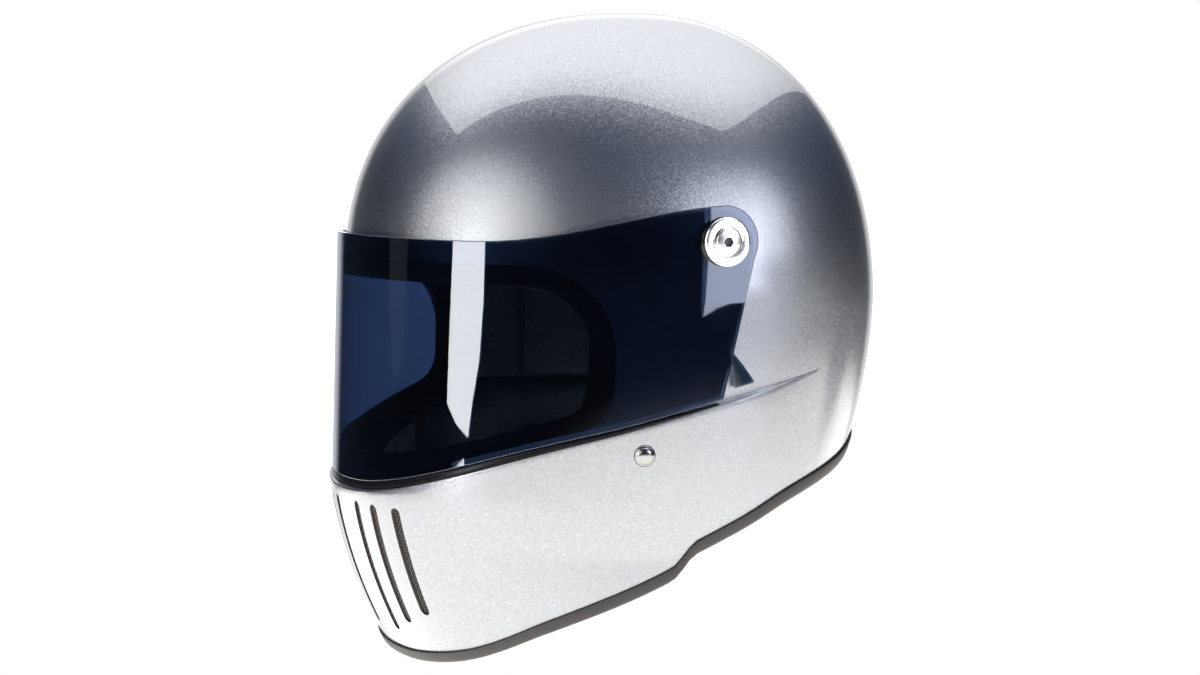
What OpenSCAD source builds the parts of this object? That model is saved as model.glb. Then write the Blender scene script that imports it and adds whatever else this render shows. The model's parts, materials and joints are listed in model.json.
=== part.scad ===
// Full-face motorcycle helmet with a wide smoked visor.
// X runs to the wearer's left, -Y is the face side and Z is up.
// The origin is on the surface that the helmet stands on, at the middle of its plan.
// Most pieces are shaped in the worn attitude, with the visor upright, and worn() then
// leans them back until the chin and the rear rim rest on the surface.

/* [Shell] */
// Half width of the shell at its widest level
half_w = 119.4; // [112:0.1:126]
// Reach of the brow ahead of the centre
front_r = 153; // [145:0.5:160]
// Reach of the back behind the centre
rear_r = 115.7; // [108:0.1:124]
// Height of the crown above the widest level
crown_h = 139.9; // [130:0.1:150]
// How far the crown sits ahead of the centre
crown_lead = 6.5; // [0:0.5:12]
// Wall of the glass-fibre shell
wall = 2.5; // [2.2:0.1:3.2]
// Draw-in of the back, measured 100 mm below the widest level
rear_draw = 25; // [15:1:32]
// Draw-in of the sides, measured 100 mm below the widest level
side_draw = 3; // [2:0.5:6]

/* [Chin bar] */
// How far the chin bar stands out past the visor at the sides
lip_side = 0.4; // [0.2:0.1:2]
// How far the chin bar stands out past the visor at the front
lip_front = 1.5; // [0.8:0.1:3]
// Slope of the chin face just under its upper edge
chin_lean = 0.17; // [0.1:0.01:0.25]
// Extra slope of the chin face for each millimetre down
chin_curl = 0.0026; // [0.0018:0.0002:0.0032]
// Taper of the chin bar's sides towards the chin
jaw_taper = 13; // [8:0.5:16]
// Width of each chin slot
slot_w = 5; // [4.6:0.2:6]
// Distance of the first slots from the middle
slot_first = 14.5; // [12:0.5:16]
// Spacing of the chin slots
slot_pitch = 14; // [12:0.5:15]
// Top of the slots below the ledge of the chin bar
slot_drop = 5.5; // [4.5:0.5:8]
// Foot of the slots next to the middle
slot_foot = 171.5; // [165:0.5:173]
// How much shorter each next slot is
slot_step = 7; // [4:0.5:9]

/* [Lower rim] */
// Lean of the worn attitude against the standing one
rest_lean = 26.7; // [25.5:0.1:27.5]
// Visible height of the rubber rim
rim_h = 6; // [4.5:0.5:8]
// Thickness of the rubber outside and inside the shell
rim_t = 1.4; // [1:0.1:1.8]
// Depth of the shell's edge inside the rubber
rim_grip = 4; // [2.5:0.1:4.4]
// Rise of the rim behind the chin
rim_arch = 3; // [1.6:0.2:5]
// Fall of the rim from there to the step
rim_sag = 1.6; // [0:0.2:2.4]
// Height of the step behind the chin bar
notch_rise = 6.6; // [3:0.2:9]

/* [Eye port] */
// Upper edge of the eye port above the widest level
port_top = 4.5; // [0:0.5:8]
// Rearmost line of the eye port, ahead of the centre
port_back = 71; // [66:0.5:78]
// Radius of the upper rear corner
port_r_top = 28; // [20:1:30]
// Radius of the lower rear corner
port_r_low = 18; // [12:1:20]
// Level of the lower rear corner's centre below the widest level
port_low = 42; // [36:0.5:46]
// Slope of the lower edge towards the chin
port_slope = 19.8; // [15:0.2:22]
// Width of the rubber moulding round the eye port
moulding_w = 9; // [6:0.5:10]
// Thickness of that moulding
moulding_t = 1.2; // [0.8:0.1:1.4]

/* [Visor] */
// Thickness of the visor
visor_t = 2.2; // [2:0.1:2.6]
// Clearance of the visor over the port's moulding at the front
clear_front = 0.9; // [0.6:0.1:2]
// Clearance of the visor over the port's moulding at the sides
clear_side = 0.4; // [0.3:0.1:1.2]
// Clearance of the flat ears over the shell
clear_ear = 0.7; // [0.5:0.1:1.2]
// Upper edge of the visor at the front
visor_top = 24.6; // [18:0.2:30]
// Height of the gasket under the visor at the front
gasket_front = 3.6; // [3:0.1:4.5]
// Height of the gasket under the visor at the sides
gasket_side = 1.8; // [1.4:0.1:2.4]
// Radius of the ears
ear_r = 17.6; // [16:0.2:20]
// How far the lift tabs flare out from the visor
tab_flare = 5; // [3:0.5:7]
// Width of the lift tabs
tab_w = 12; // [8:0.5:14]

/* [Pivots] */
// Pivot line ahead of the centre
pivot_y = 10.5; // [8:0.5:14]
// Pivot line above the widest level
pivot_z = 27.3; // [25:0.1:30]
// Diameter of the finishing washers
cup_d = 24; // [22:0.5:26]
// Depth of the finishing washers
cup_h = 2.8; // [2.2:0.1:3.4]
// Diameter of the screw heads
head_d = 12.6; // [11:0.1:13.4]
// Diameter of the screws
screw_d = 6; // [5:0.5:6]
// Outside diameter of the pivot bushes
bush_d = 10; // [9:0.5:11]
// Thickness of the friction washers
friction_t = 1.2; // [0.8:0.1:1.3]
// Thickness of the shell's bosses at the pivots
boss_t = 5.4; // [5:0.1:6.5]

/* [Chin strap] */
// Rivet ahead of the centre
rivet_y = 48; // [42:1:54]
// Rivet below the widest level
rivet_z = 75.5; // [73:0.5:82]
// Diameter of the rivet heads
rivet_d = 10; // [8:0.5:12]
// Width of the webbing
web_w = 22; // [18:1:25]
// Thickness of the webbing
web_t = 2; // [1.4:0.1:2.2]
// Wire of the two D-rings
ring_wire = 4; // [3:0.5:4.5]
// Depth of the D-rings from the bar to the outside of the bow
ring_depth = 24; // [22:1:26]
// Reach of the folded long strap past the middle
strap_reach = 12; // [0:2:24]

/* [Lining] */
// Thickness of the impact liner
liner_t = 27; // [22:1:30]
// Thickness of the comfort lining
lining_t = 8; // [5:0.5:10]
// Thickness of the cheek blocks
block_t = 17; // [14:1:20]
// Thickness of the cheek pads
pad_t = 17; // [12:1:20]
// Thickness of the neck roll
roll_t = 26; // [18:1:30]
// Thickness of the chin bar's liner
chin_t = 16; // [12:1:20]
// Thickness of the mesh behind the slots
mesh_t = 0.8; // [0.6:0.1:1.2]

/* [Hidden] */

$fn = 48;
// Clearance between pieces that seat on each other
seat = 0.3;
// Radial clearance of a shaft or screw in its bore
run = 0.05;
// Allowance for the flats that stand in for a curved wall
flats = 0.45;
// A small overlap that makes a cut run through
cut = 0.5;
// Facets round the shell
side_steps = 48;
far = 400;

// Exponents of the shell's plan curve, of its side view and of the visor's plan curve
plan_n = 2.268;
rise_n = 2.203;
visor_n = 2.267;

// Half width and reach of the visor's outer face and of the chin bar, each from what it clears
visor_half = half_w + moulding_t + clear_side + visor_t;
visor_front = front_r + moulding_t + clear_front + visor_t;
visor_ear = half_w + clear_ear + visor_t;
jaw_half = visor_half + lip_side;
jaw_front = visor_front + lip_front;

// Small forms

function ease(t) = let (c = min(max(t, 0), 1)) c * c * (3 - 2 * c);
function mix(a, b, t) = a + (b - a) * t;
function signed_pow(v, e) = sign(v) * pow(abs(v), e);
function side_term(a, n = plan_n) = signed_pow(sin(a), 2 / n);
function fore_term(a, n = plan_n) = signed_pow(cos(a), 2 / n);
function steps(from, to, n) = [for (k = [0:n]) mix(from, to, k / n)];

// Surfaces of the shell. An angle of 0 is the face, 90 the wearer's left and 180 the back.
// A level below 0 is in millimetres. A level above 0 is an angle, up to 90 at the crown.

function level_z(s, g) = s < 0 ? s : (crown_h + g) * pow(sin(s), 2 / rise_n);
function level_in(s) = s < 0 ? 1 : pow(max(cos(s), 0), 2 / rise_n);
function level_of(z) = z < 0 ? z : asin(pow(z / crown_h, rise_n / 2));
draw_level = 100;
function low(z) = min(z, 0) / draw_level;
function base_half(z) = half_w - side_draw * low(z) * low(z);
function rear_reach(z) = rear_r - rear_draw * low(z) * low(z);

jaw_brow = 101;
jaw_bend = 45;
function jaw_reach(z) = let (d = max(-z - jaw_brow, 0)) jaw_front - chin_lean * d - chin_curl * d * d;
function jaw_side(z) = jaw_half - jaw_taper * pow(max(-z - jaw_bend, 0) / draw_level, 1.8);
function jaw_share(a) = 1 - ease((min(abs(a), 360 - a) - 88) / 24);

function ring_point(a, half, reach, back, z, lead = 0) = [
    half * side_term(a),
    -(cos(a) > 0 ? reach : back) * fore_term(a) - lead,
    z];

// The dome and what continues it downward inside the chin bar's outer face
function dome_point(a, s, g) = let (z = level_z(s, g), k = level_in(s))
    ring_point(a, (min(base_half(z), jaw_side(z)) + g) * k, (min(front_r, jaw_reach(z)) + g) * k,
        (rear_reach(z) + g) * k, z, crown_lead * max(z, 0) / crown_h);

// The outer face of the chin bar, which fades into the dome behind the ears
function jaw_point(a, z, g, sunk = 0) = let (share = jaw_share(a))
    ring_point(a, mix(base_half(z) - sunk, max(base_half(z), jaw_side(z)), share) + g,
        jaw_reach(z) + g, rear_reach(z) - sunk + g, z);

// Half width of the dome at a place in the side view
function dome_x(y, z, g) = let (k = level_in(level_of(z)), reach = (min(front_r, jaw_reach(z)) + g) * k)
    (min(base_half(z), jaw_side(z)) + g) * k * pow(1 - pow(min(abs(y) / reach, 1), plan_n), 1 / plan_n);

// Lower rim. Its heights are measured from the surface that the helmet stands on.

rim_chin = [-129, -189];
function floor_z(y) = rim_chin[1] + tan(rest_lean) * (y - rim_chin[0]);
function rim_rise(y) = rim_arch * ease((y + 118) / 32) - rim_sag * ease((y + 85) / 50)
    + notch_rise * ease((y + 29.5) / 12) - (rim_arch - rim_sag + notch_rise) * ease((y - 20) / 76);
function rim_z(y, h) = floor_z(y) + (h + rim_rise(y)) / cos(rest_lean);
function rim_point(a, h, g, z = -120, n = 9) =
    let (p = jaw_point(a, z, g)) n == 0 ? p : rim_point(a, h, g, rim_z(p[1], h), n - 1);
function rim_inside(a, h, g, z = -100, n = 9) =
    let (p = dome_point(a, z, g)) n == 0 ? p : rim_inside(a, h, g, rim_z(p[1], h), n - 1);

// Ledge of the chin bar that the visor shuts against, and the visor's edges in the side view
function ledge_z(y) = -47.9 + 0.28 * y - 0.00116 * pow(max(-y - 70, 0), 2);
function gasket_h(y) = mix(gasket_side, gasket_front, ease((-y - 50) / 75));
function visor_low(y) = ledge_z(y) + gasket_h(y) + seat;
function visor_high(y) = mix(visor_top, pivot_z + ear_r, ease((y + 130) / 128));

// Eye port in the side view, with e as an even margin round it
top_corner = [-port_back - port_r_top, port_top - port_r_top];
low_corner = [-port_back - port_r_low, -port_low];
low_turn = 90 - port_slope;
low_end = low_corner + port_r_low * [cos(low_turn), -sin(low_turn)];
function port_floor(y, e = 0) = low_end[1] + tan(port_slope) * (y - low_end[0]) - e / cos(port_slope);

// From the worn attitude to the standing one. The plan is centred on the origin.
dome_levels = concat([-204, -192, -176, -160, -145, -130, -118, -106, -90, -70, -50, -30, -15],
    [for (k = [0:12]) 88 * pow(k / 12, 1.15)]);
jaw_levels = [-204, -192, -180, -168, -155, -142, -130, -118, -106, -94, -82, -68, -54, -42, -28];
function lean_y(p) = p[1] * cos(rest_lean) + p[2] * sin(rest_lean);
front_most = min([for (h = [0, 1, rim_h]) lean_y(rim_point(0, h, rim_t))]);
rear_most = max([for (s = dome_levels) lean_y(dome_point(180, s, 0))]);
rest_y = -(front_most + rear_most) / 2;
rest_z = -(-rim_chin[0] * sin(rest_lean) + rim_chin[1] * cos(rest_lean));
function stood(p) = [p[0], lean_y(p) + rest_y, -p[1] * sin(rest_lean) + p[2] * cos(rest_lean) + rest_z];

module worn() translate([0, rest_y, rest_z]) rotate([-rest_lean, 0, 0]) children();
module both_sides() {
    children();
    mirror([1, 0, 0]) children();
}
module along_x(w = far) rotate([90, 0, 90]) linear_extrude(w, center = true) children();

// A solid stack of rings, given as columns of points from the foot to the top
module stack(cols) {
    m = len(cols);
    n = len(cols[0]);
    function at(j, i) = (j % m) * n + i;
    polyhedron(points = [for (c = cols) each c], faces = concat(
        [for (j = [0:m - 1], i = [0:n - 2]) each [[at(j, i), at(j, i + 1), at(j + 1, i + 1)],
            [at(j, i), at(j + 1, i + 1), at(j + 1, i)]]],
        [[for (j = [0:m - 1]) at(j, 0)]],
        [[for (j = [m - 1:-1:0]) at(j, n - 1)]]), convexity = 6);
}

// A closed skin between an outer and an inner grid of columns. A wrapped skin goes all round
// and is capped at the crown.
module skin(outer, inner, wrap = false) {
    m = len(outer);
    n = len(outer[0]);
    last = wrap ? m - 1 : m - 2;
    function o(j, i) = (j % m) * n + i;
    function q(j, i) = m * n + (j % m) * n + i;
    polyhedron(points = concat([for (c = outer) each c], [for (c = inner) each c]), faces = concat(
        [for (j = [0:last], i = [0:n - 2]) each [[o(j, i), o(j, i + 1), o(j + 1, i + 1)],
            [o(j, i), o(j + 1, i + 1), o(j + 1, i)]]],
        [for (j = [0:last], i = [0:n - 2]) each [[q(j, i), q(j + 1, i + 1), q(j, i + 1)],
            [q(j, i), q(j + 1, i), q(j + 1, i + 1)]]],
        [for (j = [0:last]) each [[o(j, 0), o(j + 1, 0), q(j + 1, 0)], [o(j, 0), q(j + 1, 0), q(j, 0)]]],
        wrap ? [[for (j = [m - 1:-1:0]) o(j, n - 1)], [for (j = [0:m - 1]) q(j, n - 1)]]
            : [for (j = [0:last]) each [[o(j + 1, n - 1), o(j, n - 1), q(j, n - 1)],
                [o(j + 1, n - 1), q(j, n - 1), q(j + 1, n - 1)]]],
        wrap ? [] : [for (i = [0:n - 2]) each [[o(0, i + 1), o(0, i), q(0, i)],
            [o(0, i + 1), q(0, i), q(0, i + 1)]]],
        wrap ? [] : [for (i = [0:n - 2]) each [[o(m - 1, i), o(m - 1, i + 1), q(m - 1, i + 1)],
            [o(m - 1, i), q(m - 1, i + 1), q(m - 1, i)]]]), convexity = 8);
}

// A profile carried round a closed path, given as one loop of points for each station
module wreath(loops) {
    m = len(loops);
    n = len(loops[0]);
    function at(k, v) = (k % m) * n + v % n;
    polyhedron(points = [for (l = loops) each l], faces = [for (k = [0:m - 1], v = [0:n - 1])
        each [[at(k, v), at(k + 1, v), at(k + 1, v + 1)], [at(k, v), at(k + 1, v + 1), at(k, v + 1)]]],
        convexity = 8);
}

// Outlines in the side view

module port_2d(e = 0) {
    polygon([[-far, port_top + e], [top_corner[0], port_top + e], [-port_back + e, top_corner[1]],
        [-port_back + e, low_corner[1]], low_end + e * [cos(low_turn), -sin(low_turn)],
        [-far, port_floor(-far, e)]]);
    translate(top_corner) circle(port_r_top + e);
    translate(low_corner) circle(port_r_low + e);
}

// Ends of the outlines, clear of the shell at its front and its back
front_end = -jaw_front - 11.2;
back_end = rear_r + 44.3;
module below_ledge_2d() polygon(concat([for (y = [front_end:10:60]) [y, ledge_z(y)]],
    [[60, -far], [front_end, -far]]));

rim_angles = concat([for (a = [0:7.5:82.5]) a], [for (a = [86:2.5:106]) a], [for (a = [112.5:7.5:180]) a]);
module below_rim_2d(h) polygon(concat([for (y = concat([front_end], [for (a = rim_angles) rim_point(a, h, 0)[1]],
    [back_end])) [y, rim_z(y, h)]], [[back_end, -far], [front_end, -far]]));

module visor_2d() {
    ear = [-pivot_y, pivot_z];
    heel_y = ear[0] + 1.5;
    polygon(concat([[front_end, visor_high(front_end)]], [for (y = [-130:10:ear[0] - 2]) [y, visor_high(y)]],
        [[ear[0], ear[1] + ear_r], [ear[0] + ear_r, ear[1]], [heel_y, visor_low(heel_y)]],
        [for (y = [heel_y - 10:-10:front_end + 10]) [y, visor_low(y)]], [[front_end, visor_low(front_end)]]));
    translate(ear) circle(ear_r);
}

// Outer shell

liner_out = -wall - seat - flats;
// Clearance of the friction washers under the ears
washer_gap = 0.2;
ear_face = visor_ear - visor_t - washer_gap - friction_t;
boss_d = cup_d + 2;
boss_in = ear_face - boss_t;
nut_d = 16;
nut_flange = 1.2;
barrel_d = screw_d + 2;

module at_pivot(x) both_sides() translate([x, -pivot_y, pivot_z]) rotate([0, 90, 0]) children();

rivet_a = acos(pow(rivet_y / jaw_reach(-rivet_z), plan_n / 2));
rivet_p = jaw_point(rivet_a, -rivet_z, 0);
rivet_n = cross(jaw_point(rivet_a + 1, -rivet_z, 0) - jaw_point(rivet_a - 1, -rivet_z, 0),
    jaw_point(rivet_a, 1 - rivet_z, 0) - jaw_point(rivet_a, -1 - rivet_z, 0));
rivet_dir = rivet_n / norm(rivet_n);
rivet_grip = (rivet_p - dome_point(rivet_a, -rivet_z, -wall)) * rivet_dir;
shank_d = 5;
plate_t = 1.5;
plate_gap = 1.2;

module at_rivet(out = 0) both_sides() translate(rivet_p + out * rivet_dir)
    rotate([0, acos(rivet_dir[2]), atan2(rivet_dir[1], rivet_dir[0])]) children();

module slot_2d(top, foot) {
    r = slot_w / 2;
    translate([-r, -foot + r]) square([slot_w, foot - top - slot_w]);
    translate([0, -top - r]) circle(r);
    translate([0, -foot + r]) circle(r);
}

slot_rows = 3;
slot_top = slot_drop - ledge_z(-jaw_front);
module chin_slots() for (k = [0:slot_rows - 1]) both_sides()
    translate([slot_first + slot_pitch * k, 0, 0]) rotate([90, 0, 0])
        translate([0, 0, 100]) linear_extrude(100) slot_2d(slot_top, slot_foot - slot_step * k);

module outer_shell() color("silver") worn() difference() {
    union() {
        stack([for (j = [0:side_steps - 1]) [for (s = dome_levels) dome_point(j * 360 / side_steps, s, 0)]]);
        intersection() {
            stack([for (j = [0:side_steps - 1])
                [for (z = jaw_levels) jaw_point(j * 360 / side_steps, z, 0, 0.3)]]);
            along_x() below_ledge_2d();
        }
    }
    difference() {
        stack([for (j = [0:side_steps - 1])
            [for (s = dome_levels) dome_point(j * 360 / side_steps, s - (s < -190 ? 8 : 0), -wall)]]);
        at_pivot(boss_in) cylinder(d = boss_d, h = 20);
    }
    at_pivot(ear_face) cylinder(d = boss_d, h = 20);
    at_pivot(boss_in - cut) cylinder(d = barrel_d + 2 * run, h = 20);
    at_rivet(-rivet_grip - 5) cylinder(d = shank_d + 2 * run, h = 30);
    along_x() port_2d();
    along_x() below_rim_2d(rim_h - rim_grip);
    chin_slots();
}
outer_shell();

// Impact liners

function dome_col(a, levels, g) = [for (s = levels) dome_point(a, s, g)];
function dome_grid(angles, levels, g) = [for (a = angles) dome_col(a, levels, g)];
ring_angles = [for (j = [0:side_steps - 1]) j * 360 / side_steps];
liner_in = liner_out - liner_t;
lining_out = liner_in - seat - flats;
lining_in = lining_out - lining_t;
liner_foot = -port_low - 12;
// Room in the crown liner round the nuts and the bosses
nut_room = 5;
boss_room = 2;
liner_levels = concat(steps(liner_foot, -6, 3), [for (k = [0:12]) 88 * pow(k / 12, 1.15)]);

module crown_liner() color("dimgray") worn() difference() {
    skin(dome_grid(ring_angles, liner_levels, liner_out), dome_grid(ring_angles, liner_levels, liner_in),
        true);
    along_x() port_2d(moulding_w);
    at_pivot(boss_in - nut_room - boss_room) cylinder(d = nut_d + nut_room, h = 20);
    at_pivot(boss_in - boss_room) cylinder(d = boss_d + boss_room, h = 20);
}
crown_liner();

// A patch of lining between two angles. Its foot and its head are heights in the side view,
// its back lies on offset g and its face swells from the edge thickness to the full one.
function swell(u, v) = pow((1 - pow(2 * u - 1, 4)) * (1 - pow(2 * v - 1, 4)), 0.5);

module patch(angles, g, full, edge, rim) {
    n = 7;
    m = len(angles) - 1;
    function level(a, v) = mix(rim_inside(a, rim, g)[2], patch_head(dome_point(a, -60, g)[1]), v);
    skin([for (j = [0:m]) [for (i = [0:n]) dome_point(angles[j], level(angles[j], i / n), g)]],
        [for (j = [0:m]) [for (i = [0:n]) dome_point(angles[j], level(angles[j], i / n),
            g - mix(edge, full, swell(j / m, i / n)))]]);
}

// Highest level that lining may reach below the eye port
patch_top = liner_foot - 2;
function patch_head(y) = y > 13 - port_back ? patch_top : min(patch_top, port_floor(y) - moulding_w + 1);

// Heights of the linings above the surface, their thickness at the edge, and the angles they reach
block_rim = 14;
pad_rim = 34;
roll_rim = 8;
pad_edge_t = 6;
roll_edge_t = 8;
band_edge_t = 3;
mesh_margin = 3;
mesh_angle = 24;
chin_angle = 46;
cheek_angles = steps(50, 100, 14);
roll_angles = steps(104, 256, 24);
brow_angle = 58;
nape_angle = 78;

mesh_out = liner_out;
chin_out = mesh_out - mesh_t - seat - flats;
block_out = liner_out;
pad_out = block_out - block_t - seat - flats;

module chin_liner() color("dimgray") worn()
    patch(steps(-chin_angle, chin_angle, 16), chin_out, chin_t, chin_t, block_rim);
chin_liner();

// Vent mesh behind the chin slots
module vent_mesh() color("gray") worn() {
    angles = steps(-mesh_angle, mesh_angle, 10);
    levels = steps(-slot_foot - 1.5 * mesh_margin, mesh_margin - slot_top, 8);
    skin(dome_grid(angles, levels, mesh_out), dome_grid(angles, levels, mesh_out - mesh_t));
}
vent_mesh();

// Chin strap layout. It stands on a frame of its own at each anchor: -X leads square away from
// the shell's inner wall, Y runs along the wall and Z is the height above the surface.
rivet_s = stood(rivet_p - rivet_grip * rivet_dir);
rivet_ns = stood(rivet_p + rivet_dir) - stood(rivet_p);
strap_yaw = atan2(rivet_ns[1], rivet_ns[0]);
plate_in = plate_gap + plate_t;
web_in = plate_in + seat + web_t / 2;
tail_in = web_in + web_t / 2 + seat;
tail_h = 1.4;
plate_up = 12;
hang_in = 41;
exit_z = 51.5;
bar_z = 33;
ring_gap = ring_wire + 0.5;
ring_r = (web_w + 3 + ring_wire) / 2;
loop_r = ring_wire / 2 + 2 * run + web_t;

module strap_side() translate([rivet_s[0], rivet_s[1], 0]) rotate([0, 0, strap_yaw]) children();
module box_in(from, to, w, low_z, high_z) translate([-to, -w / 2, low_z]) cube([to - from, w, high_z - low_z]);

// Room for the strap through the cheek lining and for the anchor plate behind it
exit_room = 5;
module strap_room() strap_side() {
    box_in(1, hang_in + 2 * exit_room, web_w + exit_room, exit_z - exit_room, exit_z + exit_room);
    box_in(-4, tail_in + tail_h + 1, web_w + 2 * exit_room, exit_z - 2 * exit_room, rivet_s[2] + plate_up + 1);
}

// Cheek blocks and cheek pads
module cheek_block() difference() {
    worn() patch(cheek_angles, block_out, block_t, block_t, block_rim);
    strap_room();
}
module cheek_block_left() color("dimgray") cheek_block();
cheek_block_left();
module cheek_block_right() color("dimgray") mirror([1, 0, 0]) cheek_block();
cheek_block_right();

module cheek_pad() difference() {
    worn() patch(cheek_angles, pad_out, pad_t, pad_edge_t, pad_rim);
    strap_room();
}
module cheek_pad_left() color("#26262b") cheek_pad();
cheek_pad_left();
module cheek_pad_right() color("#26262b") mirror([1, 0, 0]) cheek_pad();
cheek_pad_right();

// Comfort lining of the crown, the brow, the temples and nape, and the neck
crown_edge_angle = 32;
band_edge_angle = 29;
module crown_pad() color("#26262b") worn() {
    levels = steps(crown_edge_angle, 88, 7);
    skin(dome_grid(ring_angles, levels, lining_out), dome_grid(ring_angles, levels, lining_in), true);
}
crown_pad();

module band(from, to, n, foot) {
    angles = steps(from, to, n);
    levels = steps(foot, band_edge_angle, 8);
    skin(dome_grid(angles, levels, lining_out), [for (j = [0:n]) [for (i = [0:8]) dome_point(angles[j],
        levels[i], lining_out - mix(band_edge_t, lining_t, swell(j / n, i / 8)))]]);
}
module brow_pad() color("#26262b") worn() band(-brow_angle, brow_angle, 16, level_of(port_top + moulding_w + 1));
brow_pad();
module nape_pad() color("#26262b") worn() band(nape_angle, 360 - nape_angle, 26, liner_foot + 2);
nape_pad();
module neck_roll() color("#26262b") worn() patch(roll_angles, liner_out, roll_t, roll_edge_t, roll_rim);
neck_roll();

// Rubber moulding round the eye port, its profile given by margin e and offset g

moulding_profile = let (t = moulding_t, under = -wall - flats, in = under - moulding_t) [
    [moulding_w, seat], [moulding_w, seat + 0.5 * t], [moulding_w - 1, t], [0.4, t], [-1, 0.4], [-1, 0.4 - wall],
    [0.4, in], [moulding_w - 3, in], [moulding_w - 3, under], [-seat, under], [-seat, seat]];

function surface_at(a, z, g) = dome_point(a, z < 0 ? z : level_of(z), g);
port_a_top = acos(pow(-top_corner[0] / front_r, plan_n / 2));
port_a_low = acos(pow(-low_end[0] / front_r, plan_n / 2));
function on_dome(p, g) = [dome_x(p[0], p[1], g), p[0], p[1]];
function top_loop(a) = [for (p = moulding_profile) surface_at(a, port_top + p[0], p[1])];
function low_loop(a) = [for (p = moulding_profile) let (y = surface_at(a, -60, p[1])[1])
    surface_at(a, port_floor(y, p[0]), p[1])];
function corner_loop(c, r, b) = [for (p = moulding_profile) on_dome(c + (r + p[0]) * [cos(b), sin(b)], p[1])];
port_half = concat([for (a = steps(0, port_a_top, 8)) top_loop(a)],
    [for (b = steps(75, 0, 5)) corner_loop(top_corner, port_r_top, b)],
    [for (b = steps(0, -low_turn, 4)) corner_loop(low_corner, port_r_low, b)],
    [for (k = [1:9]) low_loop(port_a_low * (1 - k / 9))]);
port_count = len(port_half);
port_loops = concat(port_half, [for (k = [port_count - 2:-1:1])
    [for (p = port_half[k]) [-p[0], p[1], p[2]]]]);

module port_moulding() color("#17171a") worn() wreath(port_loops);
port_moulding();

// Rubber of the lower rim, its profile given by height and offset

rim_floor = rim_h - rim_grip - 1.5 * seat;
rim_outside = [[rim_floor, 0.1], [rim_h, 0.1], [rim_h, rim_t], [1, rim_t], [0, 0.4]];
rim_within = [[0, -wall - 0.4], [1, -wall - rim_t - flats], [rim_h, -wall - rim_t - flats],
    [rim_h, -wall - flats], [rim_floor, -wall - flats]];
function rim_loop(a) = concat([for (p = rim_outside) rim_point(a, p[0], p[1])],
    [for (p = rim_within) rim_inside(a, p[0], p[1])]);
rim_all = concat(rim_angles, [for (k = [len(rim_angles) - 2:-1:1]) 360 - rim_angles[k]]);

module rim_rubber() color("#2c2c30") worn()
    wreath([for (a = rim_all) rim_loop(a)]);
rim_rubber();

// Gasket on the ledge under the visor

gasket_angles = steps(-77, 77, 30);
gasket_in = moulding_t + 0.4;
function gasket_z(y, v) = ledge_z(y) + (v == 0 ? 0.05 : gasket_h(y));
function gasket_face(a, v) = let (p = ring_point(a, visor_half - seat, visor_front - seat, 0, 0))
    [p[0], p[1], gasket_z(p[1], v)];
function gasket_back(a, v) = let (p = surface_at(a, -70, gasket_in)) [p[0], p[1], gasket_z(p[1], v)];
module visor_gasket() color("#17171a") worn() skin(
    [for (a = gasket_angles) [for (v = [0, 1]) gasket_face(a, v)]],
    [for (a = gasket_angles) [for (v = [0, 1]) gasket_back(a, v)]]);
visor_gasket();

// Visor: an upright bent sheet with flat ears, cut to its outline in the side view

module visor_plan(t) {
    points = [for (a = steps(-90, 90, 60))
        [(visor_half - t) * side_term(a, visor_n), -(visor_front - t) * fore_term(a, visor_n)]];
    ear = visor_ear - t;
    polygon(concat([for (p = points) [max(-ear, min(ear, p[0])), p[1]]], [[ear, 30], [-ear, 30]]));
}

tab_top = [-4.5, -24];
tab_foot = [-8.8, -46];
module lift_tab() translate([visor_ear - visor_t, tab_top[0] - 1.5, tab_top[1]])
    rotate([atan2(tab_top[0] - tab_foot[0], tab_top[1] - tab_foot[1]), 0, 0])
        rotate([0, 0, -asin(tab_flare / tab_w)]) rotate([90, 0, 90]) linear_extrude(visor_t)
            polygon([[0, 0], [tab_w * 0.8, -tab_w * 1.1], [tab_w, -tab_w * 1.5], [tab_w * 0.8, -tab_w * 1.6], [0, -tab_w * 1.6]]);

module visor() color("#1c2a44") worn() difference() {
    union() {
        intersection() {
            translate([0, 0, -crown_h]) linear_extrude(2 * crown_h) difference() {
                visor_plan(0);
                visor_plan(visor_t);
            }
            along_x() visor_2d();
        }
        both_sides() lift_tab();
    }
    at_pivot(ear_face) cylinder(d = bush_d + 2 * run, h = 20);
}
visor();

// Pivots: friction washer, bush, finishing washer, screw and nut on each side

bush_l = visor_ear + 0.3 - ear_face;
cup_face = ear_face + bush_l;
recess_d = head_d + 2;
// Floor of the finishing washers, and the bevel of the screw heads' crowns
cup_floor = 1.2;
recess_h = cup_h - cup_floor;
head_step = 0.3;
head_crown = 1.1;
socket_d = 5.2;
screw_end = 3;
nut_gap = 0.5;

module pivot_screws() color("silver") worn() at_pivot(0) difference() {
    union() {
        translate([0, 0, boss_in - screw_end])
            cylinder(d = screw_d - 2 * run, h = cup_face + cup_floor - boss_in + screw_end);
        translate([0, 0, cup_face + cup_floor]) cylinder(d = head_d, h = recess_h - head_step);
        translate([0, 0, cup_face + cup_h - head_step])
            cylinder(d1 = head_d - 2, d2 = head_d - 3, h = head_crown);
    }
    translate([0, 0, cup_face + cup_floor + head_step]) cylinder(d = socket_d, h = 10, $fn = 6);
}
pivot_screws();

cup_round = 1.3;
module finishing_washers() color("silver") worn() at_pivot(cup_face) rotate_extrude()
    polygon(concat([[screw_d / 2 + run, 0], [cup_d / 2 - 0.4, 0], [cup_d / 2, 0.5]],
        [for (b = steps(0, 90, 6)) [cup_d / 2, cup_h] + cup_round * [cos(b) - 1, sin(b) - 1]],
        [[recess_d / 2 + 0.5, cup_h], [recess_d / 2, cup_h - 0.5], [recess_d / 2, cup_h - recess_h],
        [screw_d / 2 + run, cup_h - recess_h]]));
finishing_washers();

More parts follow.
